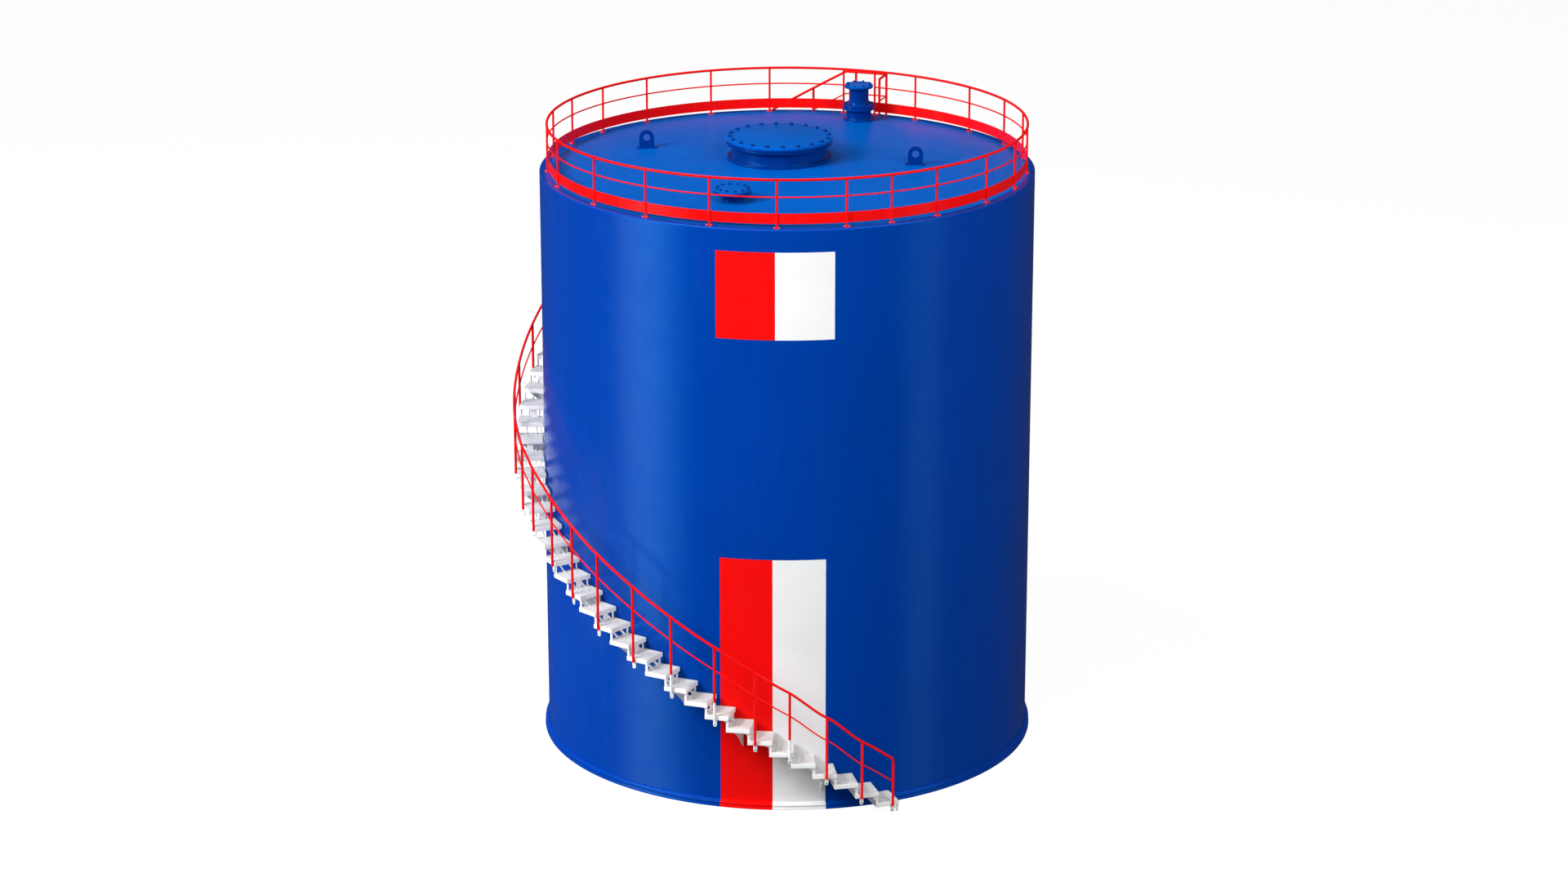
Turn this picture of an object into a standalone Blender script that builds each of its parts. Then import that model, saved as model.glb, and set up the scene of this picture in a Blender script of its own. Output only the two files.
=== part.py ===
# Vertical storage tank with a helical outside stair, a roof guard rail and roof fittings.
# Metres, +Z up. The origin is on the tank's axis at floor level and the front looks along -Y.
# A bearing is an angle in degrees seen from above: 0 is the front, positive goes to +X.
import bmesh
import bpy
from math import atan, cos, degrees, floor, pi, radians, sin, sqrt, tan
from mathutils import Matrix, Vector

# Clear distance between two pieces that touch in the real tank
GAP = 0.0003

# Tank body
SHELL_RADIUS = 5.215
SHELL_PLATE = 0.008
SHELL_SEGMENTS = 8
FACETS = 64
BOTTOM_RADIUS = 5.300
BOTTOM_PLATE = 0.012
EAVES_Z = 12.430
RIM_INNER = 5.010
RIM_DEPTH = 0.050
RIM_ROUNDING = 0.025
ROOF_RISE = 0.170
ROOF_PLATE = 0.008

# Chime: the band and the bead that run round the foot of the shell
CHIME_BAND_RADIUS = 5.298
CHIME_BAND_TOP = 0.104
CHIME_BEAD_RADIUS = 5.258
CHIME_TOP = 0.150

# Manhole in the middle of the roof
MANHOLE_X = -0.165
MANHOLE_Y = 0.220
MANHOLE_PAD_RADIUS = 1.104
MANHOLE_NECK_RADIUS = 1.012
MANHOLE_FLANGE_RADIUS = 1.127
MANHOLE_FLANGE_BOTTOM = 12.890
MANHOLE_FLANGE_TOP = 12.975
MANHOLE_COVER_TOP = 13.040

# Small hatch towards the front
HATCH_X = -1.112
HATCH_Y = -3.080
HATCH_NECK_RADIUS = 0.215
HATCH_FLANGE_RADIUS = 0.385
HATCH_FLANGE_BOTTOM = 12.645
HATCH_FLANGE_TOP = 12.698
HATCH_COVER_TOP = 12.750

# Blanked nozzle at the back right
NOZZLE_X = 1.577
NOZZLE_Y = 4.150
NOZZLE_PAD_RADIUS = 0.338
NOZZLE_LOWER_RADIUS = 0.274
NOZZLE_MID_FLANGE_RADIUS = 0.353
NOZZLE_UPPER_RADIUS = 0.214
NOZZLE_TOP_FLANGE_RADIUS = 0.310
NOZZLE_MID_BOTTOM = 12.700
NOZZLE_MID_SPLIT = 12.758
NOZZLE_MID_TOP = 12.810
NOZZLE_TOP_BOTTOM = 13.180
NOZZLE_TOP_SPLIT = 13.213
NOZZLE_TOP = 13.245

PIPE_WALL = 0.012
PAD_STAND = 0.040
PAD_SIDES = 36
NOZZLE_SIDES = 24

# Lifting lugs
LUG_LEFT = (-2.995, 1.400)
LUG_RIGHT = (2.690, -0.150)
LUG_WIDTH = 0.320
LUG_THICKNESS = 0.050
LUG_EYE_HEIGHT = 0.205
LUG_EYE_RADIUS = 0.077
LUG_ARC_STEPS = 8
LUG_FOOT = (0.424, 0.160, 0.022)

# Guard rail on the rim, with the bearings of its posts
GUARD_RADIUS = 5.045
GUARD_TOP_Z = 13.415
GUARD_MID_Z = 13.060
GUARD_TOP_TUBE = 0.0275
GUARD_MID_TUBE = 0.016
GUARD_POST_TUBE = 0.0225
GUARD_FOOT = (0.130, 0.030, 0.060, 0.012)
TOE_RADIUS = 5.0280
TOE_PLATE = 0.008
TOE_BOTTOM_Z = 12.510
TOE_TOP_Z = 12.725
GATE_POSTS = (157.4, 165.6)
GUARD_POSTS = (
    (-175.6, -160.5, -142.4), (-127.5, -113.7, -100.2), (-85.0, -69.9, -51.1), (-34.4, -18.0, -2.4),
    (13.6, 24.4, 36.6), (53.5, 68.5, 83.5), (98.1, 112.5, 128.2), (146.0, 157.4, 165.6),
)

# Stair: it climbs round the left of the tank from the front to the back right
RISERS = 50
STAIR_START = 23.2
STAIR_END = -194.0
LANDING_END = -203.2
TREADS_PER_FLIGHT = 7
TREAD_INNER = 5.240
TREAD_OUTER = 5.820
TREAD_LAP = 0.050
TREAD_SKIRT = 0.095
TREAD_PLATE = 0.005
STRUT_RADIUS = 5.775
STRUT_SIZE = (0.044, 0.030)
BAR_RADIUS = 5.400
BAR_SIZE = (0.110, 0.012)
WELD = 0.020
KNEE_OUTER = 5.760
KNEE_DROP = 0.500
KNEE_PLATE = 0.014
TAB_WIDTH = 0.080
TAB_DROP = 0.145
TAB_PLATE = 0.012

# Stair rail, with the bearings of the posts that stand before the even bays at the back
STAIR_POSTS = (
    22.0, 15.3, 8.0, 0.5, -6.5, -14.8, -24.1, -32.9, -42.1, -49.8, -56.9, -65.7,
    -73.2, -82.4, -90.3, -98.1, -108.4,
)
STAIR_POST_PITCH = 8.6
LANDING_POSTS = (-195.4, -202.4)
LANDING_RAIL_Z = 13.180
STAIR_TUBE = 0.0275
STAIR_MID_TUBE = 0.016
MID_RAIL_DROP = 0.500
POST_MARGIN = 0.5
# Height of the handrail over the line of the treads, at bearings down the stair; it swells at the front
HANDRAIL_ABOVE = (
    (23.2, 1.00), (16.0, 1.09), (8.0, 1.28), (0.0, 1.42), (-15.0, 1.49), (-35.0, 1.52), (-50.0, 1.50),
    (-60.0, 1.46), (-68.0, 1.37), (-76.0, 1.20), (-86.0, 1.02), (-100.0, 0.93), (-203.2, 0.93),
)

RISE = EAVES_Z / RISERS
STEP = (STAIR_START - STAIR_END) / (RISERS - 1)
STAIR_TREADS = RISERS - 1
LANDING_Z = RISE * STAIR_TREADS
STAIR_STRETCH = sqrt(1 + (RISE / (TREAD_OUTER * radians(STEP))) ** 2)
TREAD_GOING = 2 * TREAD_OUTER * sin(radians(STEP / 2)) + TREAD_LAP
LANDING_START = STAIR_END + STEP / 2 - degrees(atan((TREAD_GOING / 2 + GAP) / TREAD_OUTER))
FLIGHTS = STAIR_TREADS // TREADS_PER_FLIGHT
KNEE_TREADS = (3, *range(7, STAIR_TREADS, 3))

PAINTS = {
    "blue_paint": ((0.003, 0.065, 0.42, 1), 0.25, 0.0),
    "red_paint": ((0.80, 0.010, 0.008, 1), 0.35, 0.0),
    "white_paint": ((0.80, 0.80, 0.80, 1), 0.45, 0.0),
}


def clear_scene():
    for old in list(bpy.data.objects):
        bpy.data.objects.remove(old)


def paint(kind, name):
    """A material of its own for each piece, in one of the three paints."""
    colour, roughness, metallic = PAINTS[kind]
    material = bpy.data.materials.new(f"{kind}_{name}")
    material.use_nodes = True
    shader = material.node_tree.nodes["Principled BSDF"]
    shader.inputs["Base Color"].default_value = colour
    shader.inputs["Roughness"].default_value = roughness
    shader.inputs["Metallic"].default_value = metallic
    return material


def make_object(name, mesh_data, kind, place_at=Matrix()):
    """One named piece: round faces are shaded smooth and edges over 30 degrees stay crisp."""
    mesh_data.materials.clear()
    mesh_data.materials.append(paint(kind, name))
    mesh_data.shade_smooth()
    mesh_data.set_sharp_from_angle(angle=radians(30))
    piece = bpy.data.objects.new(name, mesh_data)
    piece.matrix_world = place_at
    bpy.context.collection.objects.link(piece)
    return piece


def mesh_from(bm, name):
    """Close a bmesh into a mesh with its faces pointing out."""
    bmesh.ops.remove_doubles(bm, verts=bm.verts, dist=1e-6)
    bmesh.ops.recalc_face_normals(bm, faces=bm.faces)
    data = bpy.data.meshes.new(name)
    bm.to_mesh(data)
    bm.free()
    return data


def combine(body, tool, operation, self_crossing=False):
    """Run one exact boolean between two meshes and return the result as a mesh."""
    first = bpy.data.objects.new("body", body)
    second = bpy.data.objects.new("tool", tool)
    for item in (first, second):
        bpy.context.collection.objects.link(item)
    change = first.modifiers.new("combine", "BOOLEAN")
    change.operation = operation
    change.solver = "EXACT"
    change.use_self = self_crossing
    change.object = second
    bpy.context.view_layer.update()
    evaluated = first.evaluated_get(bpy.context.evaluated_depsgraph_get())
    result = bpy.data.meshes.new_from_object(evaluated)
    for item in (first, second):
        bpy.data.objects.remove(item)
    return result


def outward(bearing):
    return Vector((sin(radians(bearing)), -cos(radians(bearing)), 0))


def place(bearing, radius, height):
    """Frame whose X runs uphill along the stair, Y points away from the tank and Z is up."""
    out = outward(bearing)
    uphill = Vector((-cos(radians(bearing)), -sin(radians(bearing)), 0))
    rotation = Matrix((uphill, out, Vector((0, 0, 1)))).transposed().to_4x4()
    return Matrix.Translation(out * radius + Vector((0, 0, height))) @ rotation


def shell_face(bearing):
    """Distance from the axis to the flat facet of the shell at a bearing."""
    half = 180 / FACETS
    off = (bearing % (2 * half)) - half
    return SHELL_RADIUS * cos(radians(half)) / cos(radians(off))


def roof_z(x, y):
    return EAVES_Z + ROOF_RISE * (1 - sqrt(x * x + y * y) / RIM_INNER)


def add_box(bm, low, high, frame=Matrix()):
    low, high = Vector(low), Vector(high)
    size = Matrix.Diagonal((*(high - low), 1))
    made = bmesh.ops.create_cube(bm, size=1, matrix=frame @ Matrix.Translation((low + high) / 2) @ size)
    return made["verts"]


def add_prism(bm, outline, low, high, frame=Matrix()):
    """Outline in the frame's XY plane, drawn out along its Z from low to high."""
    base = [bm.verts.new(frame @ Vector((x, y, low))) for x, y in outline]
    face = bm.faces.new(base)
    grown = bmesh.ops.extrude_face_region(bm, geom=[face], use_keep_orig=True)
    moved = [item for item in grown["geom"] if isinstance(item, bmesh.types.BMVert)]
    lift = frame.to_3x3() @ Vector((0, 0, high - low))
    bmesh.ops.translate(bm, verts=moved, vec=lift)


def add_turned(bm, profile, steps, span=360, closed=True):
    """Spin a (radius, height) profile about Z, the whole way round or through a span of degrees."""
    corners = [bm.verts.new((0, -r, z)) for r, z in profile]
    edges = [bm.edges.new(pair) for pair in zip(corners, corners[1:])]
    if closed:
        edges.append(bm.edges.new((corners[-1], corners[0])))
    whole = span == 360
    made = bmesh.ops.spin(bm, geom=corners + edges, axis=(0, 0, 1), cent=(0, 0, 0), angle=radians(span),
                          steps=steps, use_merge=whole)
    if not whole:
        last = [item for item in made["geom_last"] if isinstance(item, bmesh.types.BMEdge)]
        bmesh.ops.contextual_create(bm, geom=edges)
        bmesh.ops.contextual_create(bm, geom=last)


def add_sweep(bm, bearings, section):
    """Bar round the tank with flat ends; section gives its (radius, height) corners at a bearing."""
    rings = []
    for bearing in bearings:
        out = outward(bearing)
        rings.append([bm.verts.new(out * r + Vector((0, 0, z))) for r, z in section(bearing)])
    add_skin(bm, rings)


def add_skin(bm, rings):
    """Faces along a run of rings, with a flat face at each end."""
    for here, there in zip(rings, rings[1:]):
        for corner in range(len(here)):
            after = (corner + 1) % len(here)
            bm.faces.new((here[corner], here[after], there[after], there[corner]))
    bm.faces.new(rings[0])
    bm.faces.new(rings[-1])


def add_disc(bm, radius, low, high, sides, centre=(0, 0)):
    middle = Vector((centre[0], centre[1], (low + high) / 2))
    bmesh.ops.create_cone(bm, cap_ends=True, segments=sides, radius1=radius, radius2=radius,
                          depth=high - low, matrix=Matrix.Translation(middle))


def add_tube(bm, path, radius, sides):
    """Closed tube with flat ends along a path of points, kept upright in section."""
    rings = []
    for index, point in enumerate(path):
        before = path[max(index - 1, 0)]
        after = path[min(index + 1, len(path) - 1)]
        along = (after - before).normalized()
        level = along.cross(Vector((0, 0, 1)))
        side = level.normalized() if level.length > 0.1 else Vector((1, 0, 0))
        up = side.cross(along).normalized()
        turn = [2 * pi * (i + 0.5) / sides for i in range(sides)]
        rings.append([bm.verts.new(point + (side * cos(a) + up * sin(a)) * radius) for a in turn])
    add_skin(bm, rings)


def bay_bearings(start, end, posts):
    """Bearings at which a rail bends: its ends, its posts and the middles between them."""
    stops = [start, *(p for p in posts if min(start, end) < p < max(start, end)), end]
    bends = [start]
    for here, there in zip(stops, stops[1:]):
        if here in posts and there in posts:
            bends.append((here + there) / 2)
        bends.append(there)
    return bends


def add_rail(bm, radius, bearings, height, tube, sides, stretch=1):
    """Bar round the tank whose flats touch the tube it stands for; height is a function of the bearing.
    On a slope its upright sections are stretched, so that the bar keeps its thickness."""
    corner = tube / cos(pi / sides)
    turn = [2 * pi * (index + 0.5) / sides for index in range(sides)]
    add_sweep(bm, bearings, lambda bearing: [
        (radius + corner * cos(a), height(bearing) + corner * stretch * sin(a)) for a in turn
    ])


def make_bottom_plate():
    bm = bmesh.new()
    add_disc(bm, BOTTOM_RADIUS, 0, BOTTOM_PLATE, FACETS)
    make_object("bottom_plate", mesh_from(bm, "bottom_plate"), "blue_paint")


def make_chime_ring():
    inner = SHELL_RADIUS + 2 * GAP
    low = BOTTOM_PLATE + GAP
    profile = (
        (inner, low), (CHIME_BAND_RADIUS, low), (CHIME_BAND_RADIUS, CHIME_BAND_TOP),
        (CHIME_BEAD_RADIUS + 0.004, CHIME_BAND_TOP + 0.008), (CHIME_BEAD_RADIUS, CHIME_TOP - 0.012),
        (inner, CHIME_TOP),
    )
    bm = bmesh.new()
    add_turned(bm, profile, FACETS)
    make_object("chime_ring", mesh_from(bm, "chime_ring"), "blue_paint")


def make_shell_segments():
    """Rolled wall plates; each spans one eighth of the circle."""
    span = 360 / SHELL_SEGMENTS
    trim = degrees(GAP / SHELL_RADIUS)
    inner = SHELL_RADIUS - SHELL_PLATE
    low = BOTTOM_PLATE + GAP
    high = EAVES_Z - RIM_DEPTH - GAP
    profile = ((inner, low), (SHELL_RADIUS, low), (SHELL_RADIUS, high), (inner, high))
    for index in range(SHELL_SEGMENTS):
        name = f"shell_segment_{index + 1}"
        bm = bmesh.new()
        add_turned(bm, profile, FACETS // SHELL_SEGMENTS, span - trim)
        turned = Matrix.Rotation(radians(span * index + trim / 2), 4, "Z")
        make_object(name, mesh_from(bm, name), "blue_paint", turned)


def make_roof_rim():
    """Curb that caps the shell, with a softened outer edge."""
    low = EAVES_Z - RIM_DEPTH
    profile = (
        (RIM_INNER, low), (SHELL_RADIUS, low), (SHELL_RADIUS, EAVES_Z - RIM_ROUNDING),
        (SHELL_RADIUS - RIM_ROUNDING, EAVES_Z), (RIM_INNER, EAVES_Z),
    )
    bm = bmesh.new()
    add_turned(bm, profile, FACETS)
    make_object("roof_rim", mesh_from(bm, "roof_rim"), "blue_paint")


def make_roof_plate():
    """Low cone with a round hole under each roof fitting."""
    edge = RIM_INNER - GAP
    apex = EAVES_Z + ROOF_RISE
    eaves = apex - ROOF_RISE * edge / RIM_INNER
    profile = ((0, apex), (edge, eaves), (edge, eaves - ROOF_PLATE), (0, apex - ROOF_PLATE))
    cone = bmesh.new()
    add_turned(cone, profile, FACETS, closed=False)
    holes = bmesh.new()
    low, high = EAVES_Z - 0.1, apex + 0.1
    add_disc(holes, MANHOLE_PAD_RADIUS + 2 * GAP, low, high, PAD_SIDES, (MANHOLE_X, MANHOLE_Y))
    add_disc(holes, HATCH_NECK_RADIUS + 2 * GAP, low, high, NOZZLE_SIDES, (HATCH_X, HATCH_Y))
    add_disc(holes, NOZZLE_PAD_RADIUS + 2 * GAP, low, high, NOZZLE_SIDES, (NOZZLE_X, NOZZLE_Y))
    result = combine(mesh_from(cone, "cone"), mesh_from(holes, "holes"), "DIFFERENCE")
    make_object("roof_plate", result, "blue_paint")


def make_turned_piece(name, profile, sides, centre):
    bm = bmesh.new()
    add_turned(bm, profile, sides)
    make_object(name, mesh_from(bm, name), "blue_paint", Matrix.Translation((*centre, 0)))


def make_disc_piece(name, radius, low, high, sides, centre):
    bm = bmesh.new()
    add_disc(bm, radius, low, high, sides)
    make_object(name, mesh_from(bm, name), "blue_paint", Matrix.Translation((*centre, 0)))


def make_manhole():
    centre = (MANHOLE_X, MANHOLE_Y)
    surface = roof_z(*centre)
    low = surface - MANHOLE_PAD_RADIUS * ROOF_RISE / RIM_INNER - 0.02
    pad_top = surface + PAD_STAND
    bore = MANHOLE_NECK_RADIUS - PIPE_WALL
    pad = (
        (MANHOLE_NECK_RADIUS + 2 * GAP, low), (MANHOLE_PAD_RADIUS, low),
        (MANHOLE_PAD_RADIUS, pad_top), (MANHOLE_NECK_RADIUS + 2 * GAP, pad_top),
    )
    neck = (
        (bore, low), (MANHOLE_NECK_RADIUS, low), (MANHOLE_NECK_RADIUS, MANHOLE_FLANGE_BOTTOM),
        (MANHOLE_FLANGE_RADIUS, MANHOLE_FLANGE_BOTTOM), (MANHOLE_FLANGE_RADIUS, MANHOLE_FLANGE_TOP),
        (bore, MANHOLE_FLANGE_TOP),
    )
    make_turned_piece("manhole_pad", pad, PAD_SIDES, centre)
    make_turned_piece("manhole_neck", neck, PAD_SIDES, centre)
    make_disc_piece("manhole_cover", MANHOLE_FLANGE_RADIUS, MANHOLE_FLANGE_TOP + GAP, MANHOLE_COVER_TOP,
                    PAD_SIDES, centre)


def make_hatch():
    centre = (HATCH_X, HATCH_Y)
    low = roof_z(*centre) - 0.04
    bore = HATCH_NECK_RADIUS - PIPE_WALL
    neck = (
        (bore, low), (HATCH_NECK_RADIUS, low), (HATCH_NECK_RADIUS, HATCH_FLANGE_BOTTOM),
        (HATCH_FLANGE_RADIUS, HATCH_FLANGE_BOTTOM), (HATCH_FLANGE_RADIUS, HATCH_FLANGE_TOP),
        (bore, HATCH_FLANGE_TOP),
    )
    make_turned_piece("hatch_neck", neck, NOZZLE_SIDES, centre)
    make_disc_piece("hatch_cover", HATCH_FLANGE_RADIUS, HATCH_FLANGE_TOP + GAP, HATCH_COVER_TOP,
                    NOZZLE_SIDES, centre)


def make_nozzle():
    """A stub on the roof, a reducing spool bolted on it and a blind flange on top."""
    centre = (NOZZLE_X, NOZZLE_Y)
    surface = roof_z(*centre)
    low = surface - 0.04
    lower_bore = NOZZLE_LOWER_RADIUS - PIPE_WALL
    upper_bore = NOZZLE_UPPER_RADIUS - PIPE_WALL
    stub = (
        (lower_bore, low), (NOZZLE_PAD_RADIUS, low), (NOZZLE_PAD_RADIUS, surface + PAD_STAND),
        (NOZZLE_LOWER_RADIUS, surface + PAD_STAND), (NOZZLE_LOWER_RADIUS, NOZZLE_MID_BOTTOM),
        (NOZZLE_MID_FLANGE_RADIUS, NOZZLE_MID_BOTTOM), (NOZZLE_MID_FLANGE_RADIUS, NOZZLE_MID_SPLIT),
        (lower_bore, NOZZLE_MID_SPLIT),
    )
    foot = NOZZLE_MID_SPLIT + GAP
    spool = (
        (upper_bore, foot), (NOZZLE_MID_FLANGE_RADIUS, foot), (NOZZLE_MID_FLANGE_RADIUS, NOZZLE_MID_TOP),
        (NOZZLE_UPPER_RADIUS, NOZZLE_MID_TOP), (NOZZLE_UPPER_RADIUS, NOZZLE_TOP_BOTTOM),
        (NOZZLE_TOP_FLANGE_RADIUS, NOZZLE_TOP_BOTTOM), (NOZZLE_TOP_FLANGE_RADIUS, NOZZLE_TOP_SPLIT),
        (upper_bore, NOZZLE_TOP_SPLIT),
    )
    make_turned_piece("nozzle_stub", stub, NOZZLE_SIDES, centre)
    make_turned_piece("nozzle_spool", spool, NOZZLE_SIDES, centre)
    make_disc_piece("nozzle_blind", NOZZLE_TOP_FLANGE_RADIUS, NOZZLE_TOP_SPLIT + GAP, NOZZLE_TOP,
                    NOZZLE_SIDES, centre)


def lug_seat(x, y):
    """Seat on the sloping roof: Z leaves the plate at a right angle, X stays level to the right."""
    slope = ROOF_RISE / RIM_INNER
    away = Vector((x, y, 0)).normalized()
    normal = (Vector((0, 0, 1)) + away * slope).normalized()
    right = (Vector((1, 0, 0)) - normal * normal.x).normalized()
    rotation = Matrix((right, normal.cross(right), normal)).transposed().to_4x4()
    seat = Vector((x, y, roof_z(x, y))) + normal * 2 * GAP
    return Matrix.Translation(seat) @ rotation


def make_lug(name, spot):
    """Arched plate with an eye, standing on a foot plate."""
    half = LUG_WIDTH / 2
    foot_x, foot_y, foot_z = LUG_FOOT
    eye_z = foot_z + LUG_EYE_HEIGHT
    outline = [(half, foot_z / 2)]
    for index in range(LUG_ARC_STEPS + 1):
        angle = pi * index / LUG_ARC_STEPS
        outline.append((half * cos(angle), eye_z + half * sin(angle)))
    outline.append((-half, foot_z / 2))
    upright = Matrix.Rotation(pi / 2, 4, "X")
    plate = bmesh.new()
    add_prism(plate, outline, -LUG_THICKNESS / 2, LUG_THICKNESS / 2, upright)
    foot = bmesh.new()
    add_box(foot, (-foot_x / 2, -foot_y / 2, 0), (foot_x / 2, foot_y / 2, foot_z))
    eye = bmesh.new()
    bmesh.ops.create_cone(eye, cap_ends=True, segments=2 * LUG_ARC_STEPS, radius1=LUG_EYE_RADIUS,
                          radius2=LUG_EYE_RADIUS, depth=2 * LUG_THICKNESS,
                          matrix=Matrix.Translation((0, 0, eye_z)) @ upright)
    body = combine(mesh_from(foot, "foot"), mesh_from(plate, "plate"), "UNION")
    drilled = combine(body, mesh_from(eye, "eye"), "DIFFERENCE")
    make_object(name, drilled, "blue_paint", lug_seat(*spot))


def guard_limits(index):
    """A section of guard rail runs from mid-bay to mid-bay."""
    posts = GUARD_POSTS[index]
    before = GUARD_POSTS[index - 1][-1] - (360 if index == 0 else 0)
    after = GUARD_POSTS[(index + 1) % len(GUARD_POSTS)][0] + (360 if index + 1 == len(GUARD_POSTS) else 0)
    trim = degrees(GAP / GUARD_RADIUS) / 2
    return (before + posts[0]) / 2 + trim, (posts[-1] + after) / 2 - trim


def make_guard_section(index):
    """Posts with foot plates, a top rail, a mid rail and a toe board, welded into one frame.
    The mid rail and the toe board stop at the gate posts, where the stair arrives."""
    start, end = guard_limits(index)
    spans = [(start, end)]
    if GATE_POSTS[0] in GUARD_POSTS[index]:
        spans = [(start, GATE_POSTS[0]), (GATE_POSTS[1], end)]
    all_posts = GUARD_POSTS[index]
    outer = TOE_RADIUS + TOE_PLATE
    toe = ((TOE_RADIUS, TOE_BOTTOM_Z), (outer, TOE_BOTTOM_Z), (outer, TOE_TOP_Z), (TOE_RADIUS, TOE_TOP_Z))
    rails = bmesh.new()
    bends = bay_bearings(start, end, all_posts)
    add_rail(rails, GUARD_RADIUS, bends, lambda _: GUARD_TOP_Z, GUARD_TOP_TUBE, 6)
    for first, last in spans:
        bends = bay_bearings(first, last, all_posts)
        add_rail(rails, GUARD_RADIUS, bends, lambda _: GUARD_MID_Z, GUARD_MID_TUBE, 4)
        add_sweep(rails, bends, lambda _: toe)
    posts = bmesh.new()
    foot_x, foot_in, foot_out, foot_z = GUARD_FOOT
    for bearing in all_posts:
        foot_frame = place(bearing, GUARD_RADIUS, EAVES_Z + GAP)
        line = outward(bearing) * GUARD_RADIUS
        bottom = line + Vector((0, 0, EAVES_Z + GAP + foot_z / 2))
        top = line + Vector((0, 0, GUARD_TOP_Z))
        add_tube(posts, [bottom, top], GUARD_POST_TUBE, 6)
        add_box(posts, (-foot_x / 2, -foot_in, 0), (foot_x / 2, foot_out, foot_z), foot_frame)
    name = f"guard_rail_{index + 1}"
    fused = combine(mesh_from(rails, "rails"), mesh_from(posts, "posts"), "UNION", True)
    make_object(name, fused, "red_paint")


def walk_line(bearing):
    """Height of the line through the middles of the treads."""
    return RISE * ((STAIR_START - bearing) / STEP + 0.5)


def tread_bearing(index):
    return STAIR_START - STEP * (index + 0.5)


def tread_top(index):
    return RISE * (index + 1)


def stair_post_bearings():
    """Bearings of all stair posts, each kept clear of the ends of its tread."""
    wanted = list(STAIR_POSTS)
    while wanted[-1] - STAIR_POST_PITCH > STAIR_END + POST_MARGIN:
        wanted.append(wanted[-1] - STAIR_POST_PITCH)
    posts = []
    for bearing in wanted:
        index = min(floor((STAIR_START - bearing) / STEP), STAIR_TREADS - 1)
        reach = STEP / 2 - POST_MARGIN
        offset = max(-reach, min(reach, bearing - tread_bearing(index)))
        posts.append((index, tread_bearing(index) + offset))
    return posts


def post_frame(index, bearing, height):
    """Frame of a post on the flat outer skirt of its tread."""
    middle = tread_bearing(index)
    along = -TREAD_OUTER * radians(bearing - middle)
    return place(middle, TREAD_OUTER, height) @ Matrix.Translation((along, 0, 0))


def add_pan(bm, frame, going, width, skirt, cut=0):
    """Tread folded from sheet: a plate with a skirt on all four sides, open underneath.
    Its lower inner corner is cut back by a length, to lie along the tread before it."""
    verts = add_box(bm, (-going / 2, -width, -skirt), (going / 2, 0, 0), frame)
    corner = frame @ Vector((-going / 2, -width, -skirt / 2))
    for vert in verts:
        if (vert.co - corner).length < skirt:
            vert.co += frame.to_3x3() @ Vector((cut, 0, 0))
    faces = {face for vert in verts for face in vert.link_faces}
    under = min(faces, key=lambda face: face.calc_center_median().z)
    bmesh.ops.inset_individual(bm, faces=[under], thickness=TREAD_PLATE, use_even_offset=True)
    grown = bmesh.ops.extrude_face_region(bm, geom=[under, *under.edges, *under.verts])
    moved = [item for item in grown["geom"] if isinstance(item, bmesh.types.BMVert)]
    bmesh.ops.translate(bm, verts=moved, vec=(0, 0, skirt - TREAD_PLATE))


def add_riser(bm, number, foot):
    """Strut at the outer end and sloping bar at the inner end, between one tread and the next."""
    boundary = STAIR_START - STEP * number
    top = RISE * (number + 1)
    length, width = STRUT_SIZE
    front = -TREAD_LAP / 2
    add_box(bm, (front, -width / 2, foot), (front + length, width / 2, top - TREAD_SKIRT + WELD),
            place(boundary, STRUT_RADIUS, 0))
    length, width = BAR_SIZE
    run = BAR_RADIUS * radians(STEP)
    head = top - TREAD_PLATE / 2
    outline = ((-length, foot), (0, foot), (run, head), (run - length, head))
    upright = place(boundary, BAR_RADIUS, 0) @ Matrix.Rotation(pi / 2, 4, "X")
    add_prism(bm, outline, -width / 2, width / 2, upright)


def add_knee(bm, bearing, under):
    """Triangular bracket in the radial plane, from the shell to the outer stringer."""
    wall = shell_face(bearing) + 3 * GAP
    outline = ((wall, under + WELD), (KNEE_OUTER, under + WELD), (KNEE_OUTER, under - WELD),
               (wall, under - KNEE_DROP))
    upright = Matrix.Rotation(radians(bearing - 90), 4, "Z") @ Matrix.Rotation(pi / 2, 4, "X")
    add_prism(bm, outline, -KNEE_PLATE / 2, KNEE_PLATE / 2, upright)


def add_tab(bm, frame, skirt):
    """Round-ended lug below the skirt that takes the post's bolt."""
    half = TAB_WIDTH / 2
    outline = [(half, -skirt + WELD), (-half, -skirt + WELD)]
    for index in range(5):
        angle = pi + pi * index / 4
        outline.append((half * cos(angle), -skirt - TAB_DROP + half + half * sin(angle)))
    upright = frame @ Matrix.Rotation(pi / 2, 4, "X")
    add_prism(bm, outline, 0, TAB_PLATE, upright)


def make_flight(number):
    """Seven folded treads held together by struts and bars, with knee brackets and post lugs."""
    first = number * TREADS_PER_FLIGHT
    last = first + TREADS_PER_FLIGHT
    width = TREAD_OUTER - TREAD_INNER
    pans = bmesh.new()
    carriers = bmesh.new()
    for index in range(first, last):
        frame = place(tread_bearing(index), TREAD_OUTER, tread_top(index))
        add_pan(pans, frame, TREAD_GOING, width, TREAD_SKIRT)
        if index in KNEE_TREADS:
            add_knee(carriers, tread_bearing(index), tread_top(index) - TREAD_SKIRT)
        foot = RISE * index - TREAD_PLATE / 2
        if index == first:
            foot = RISE * index + (GAP if index else 0)
        add_riser(carriers, index, foot)
    for index, bearing in stair_post_bearings():
        if first <= index < last:
            add_tab(carriers, post_frame(index, bearing, tread_top(index)), TREAD_SKIRT)
    name = f"stair_flight_{number + 1}"
    fused = combine(mesh_from(pans, "pans"), mesh_from(carriers, "carriers"), "UNION", True)
    make_object(name, fused, "white_paint")


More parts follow.
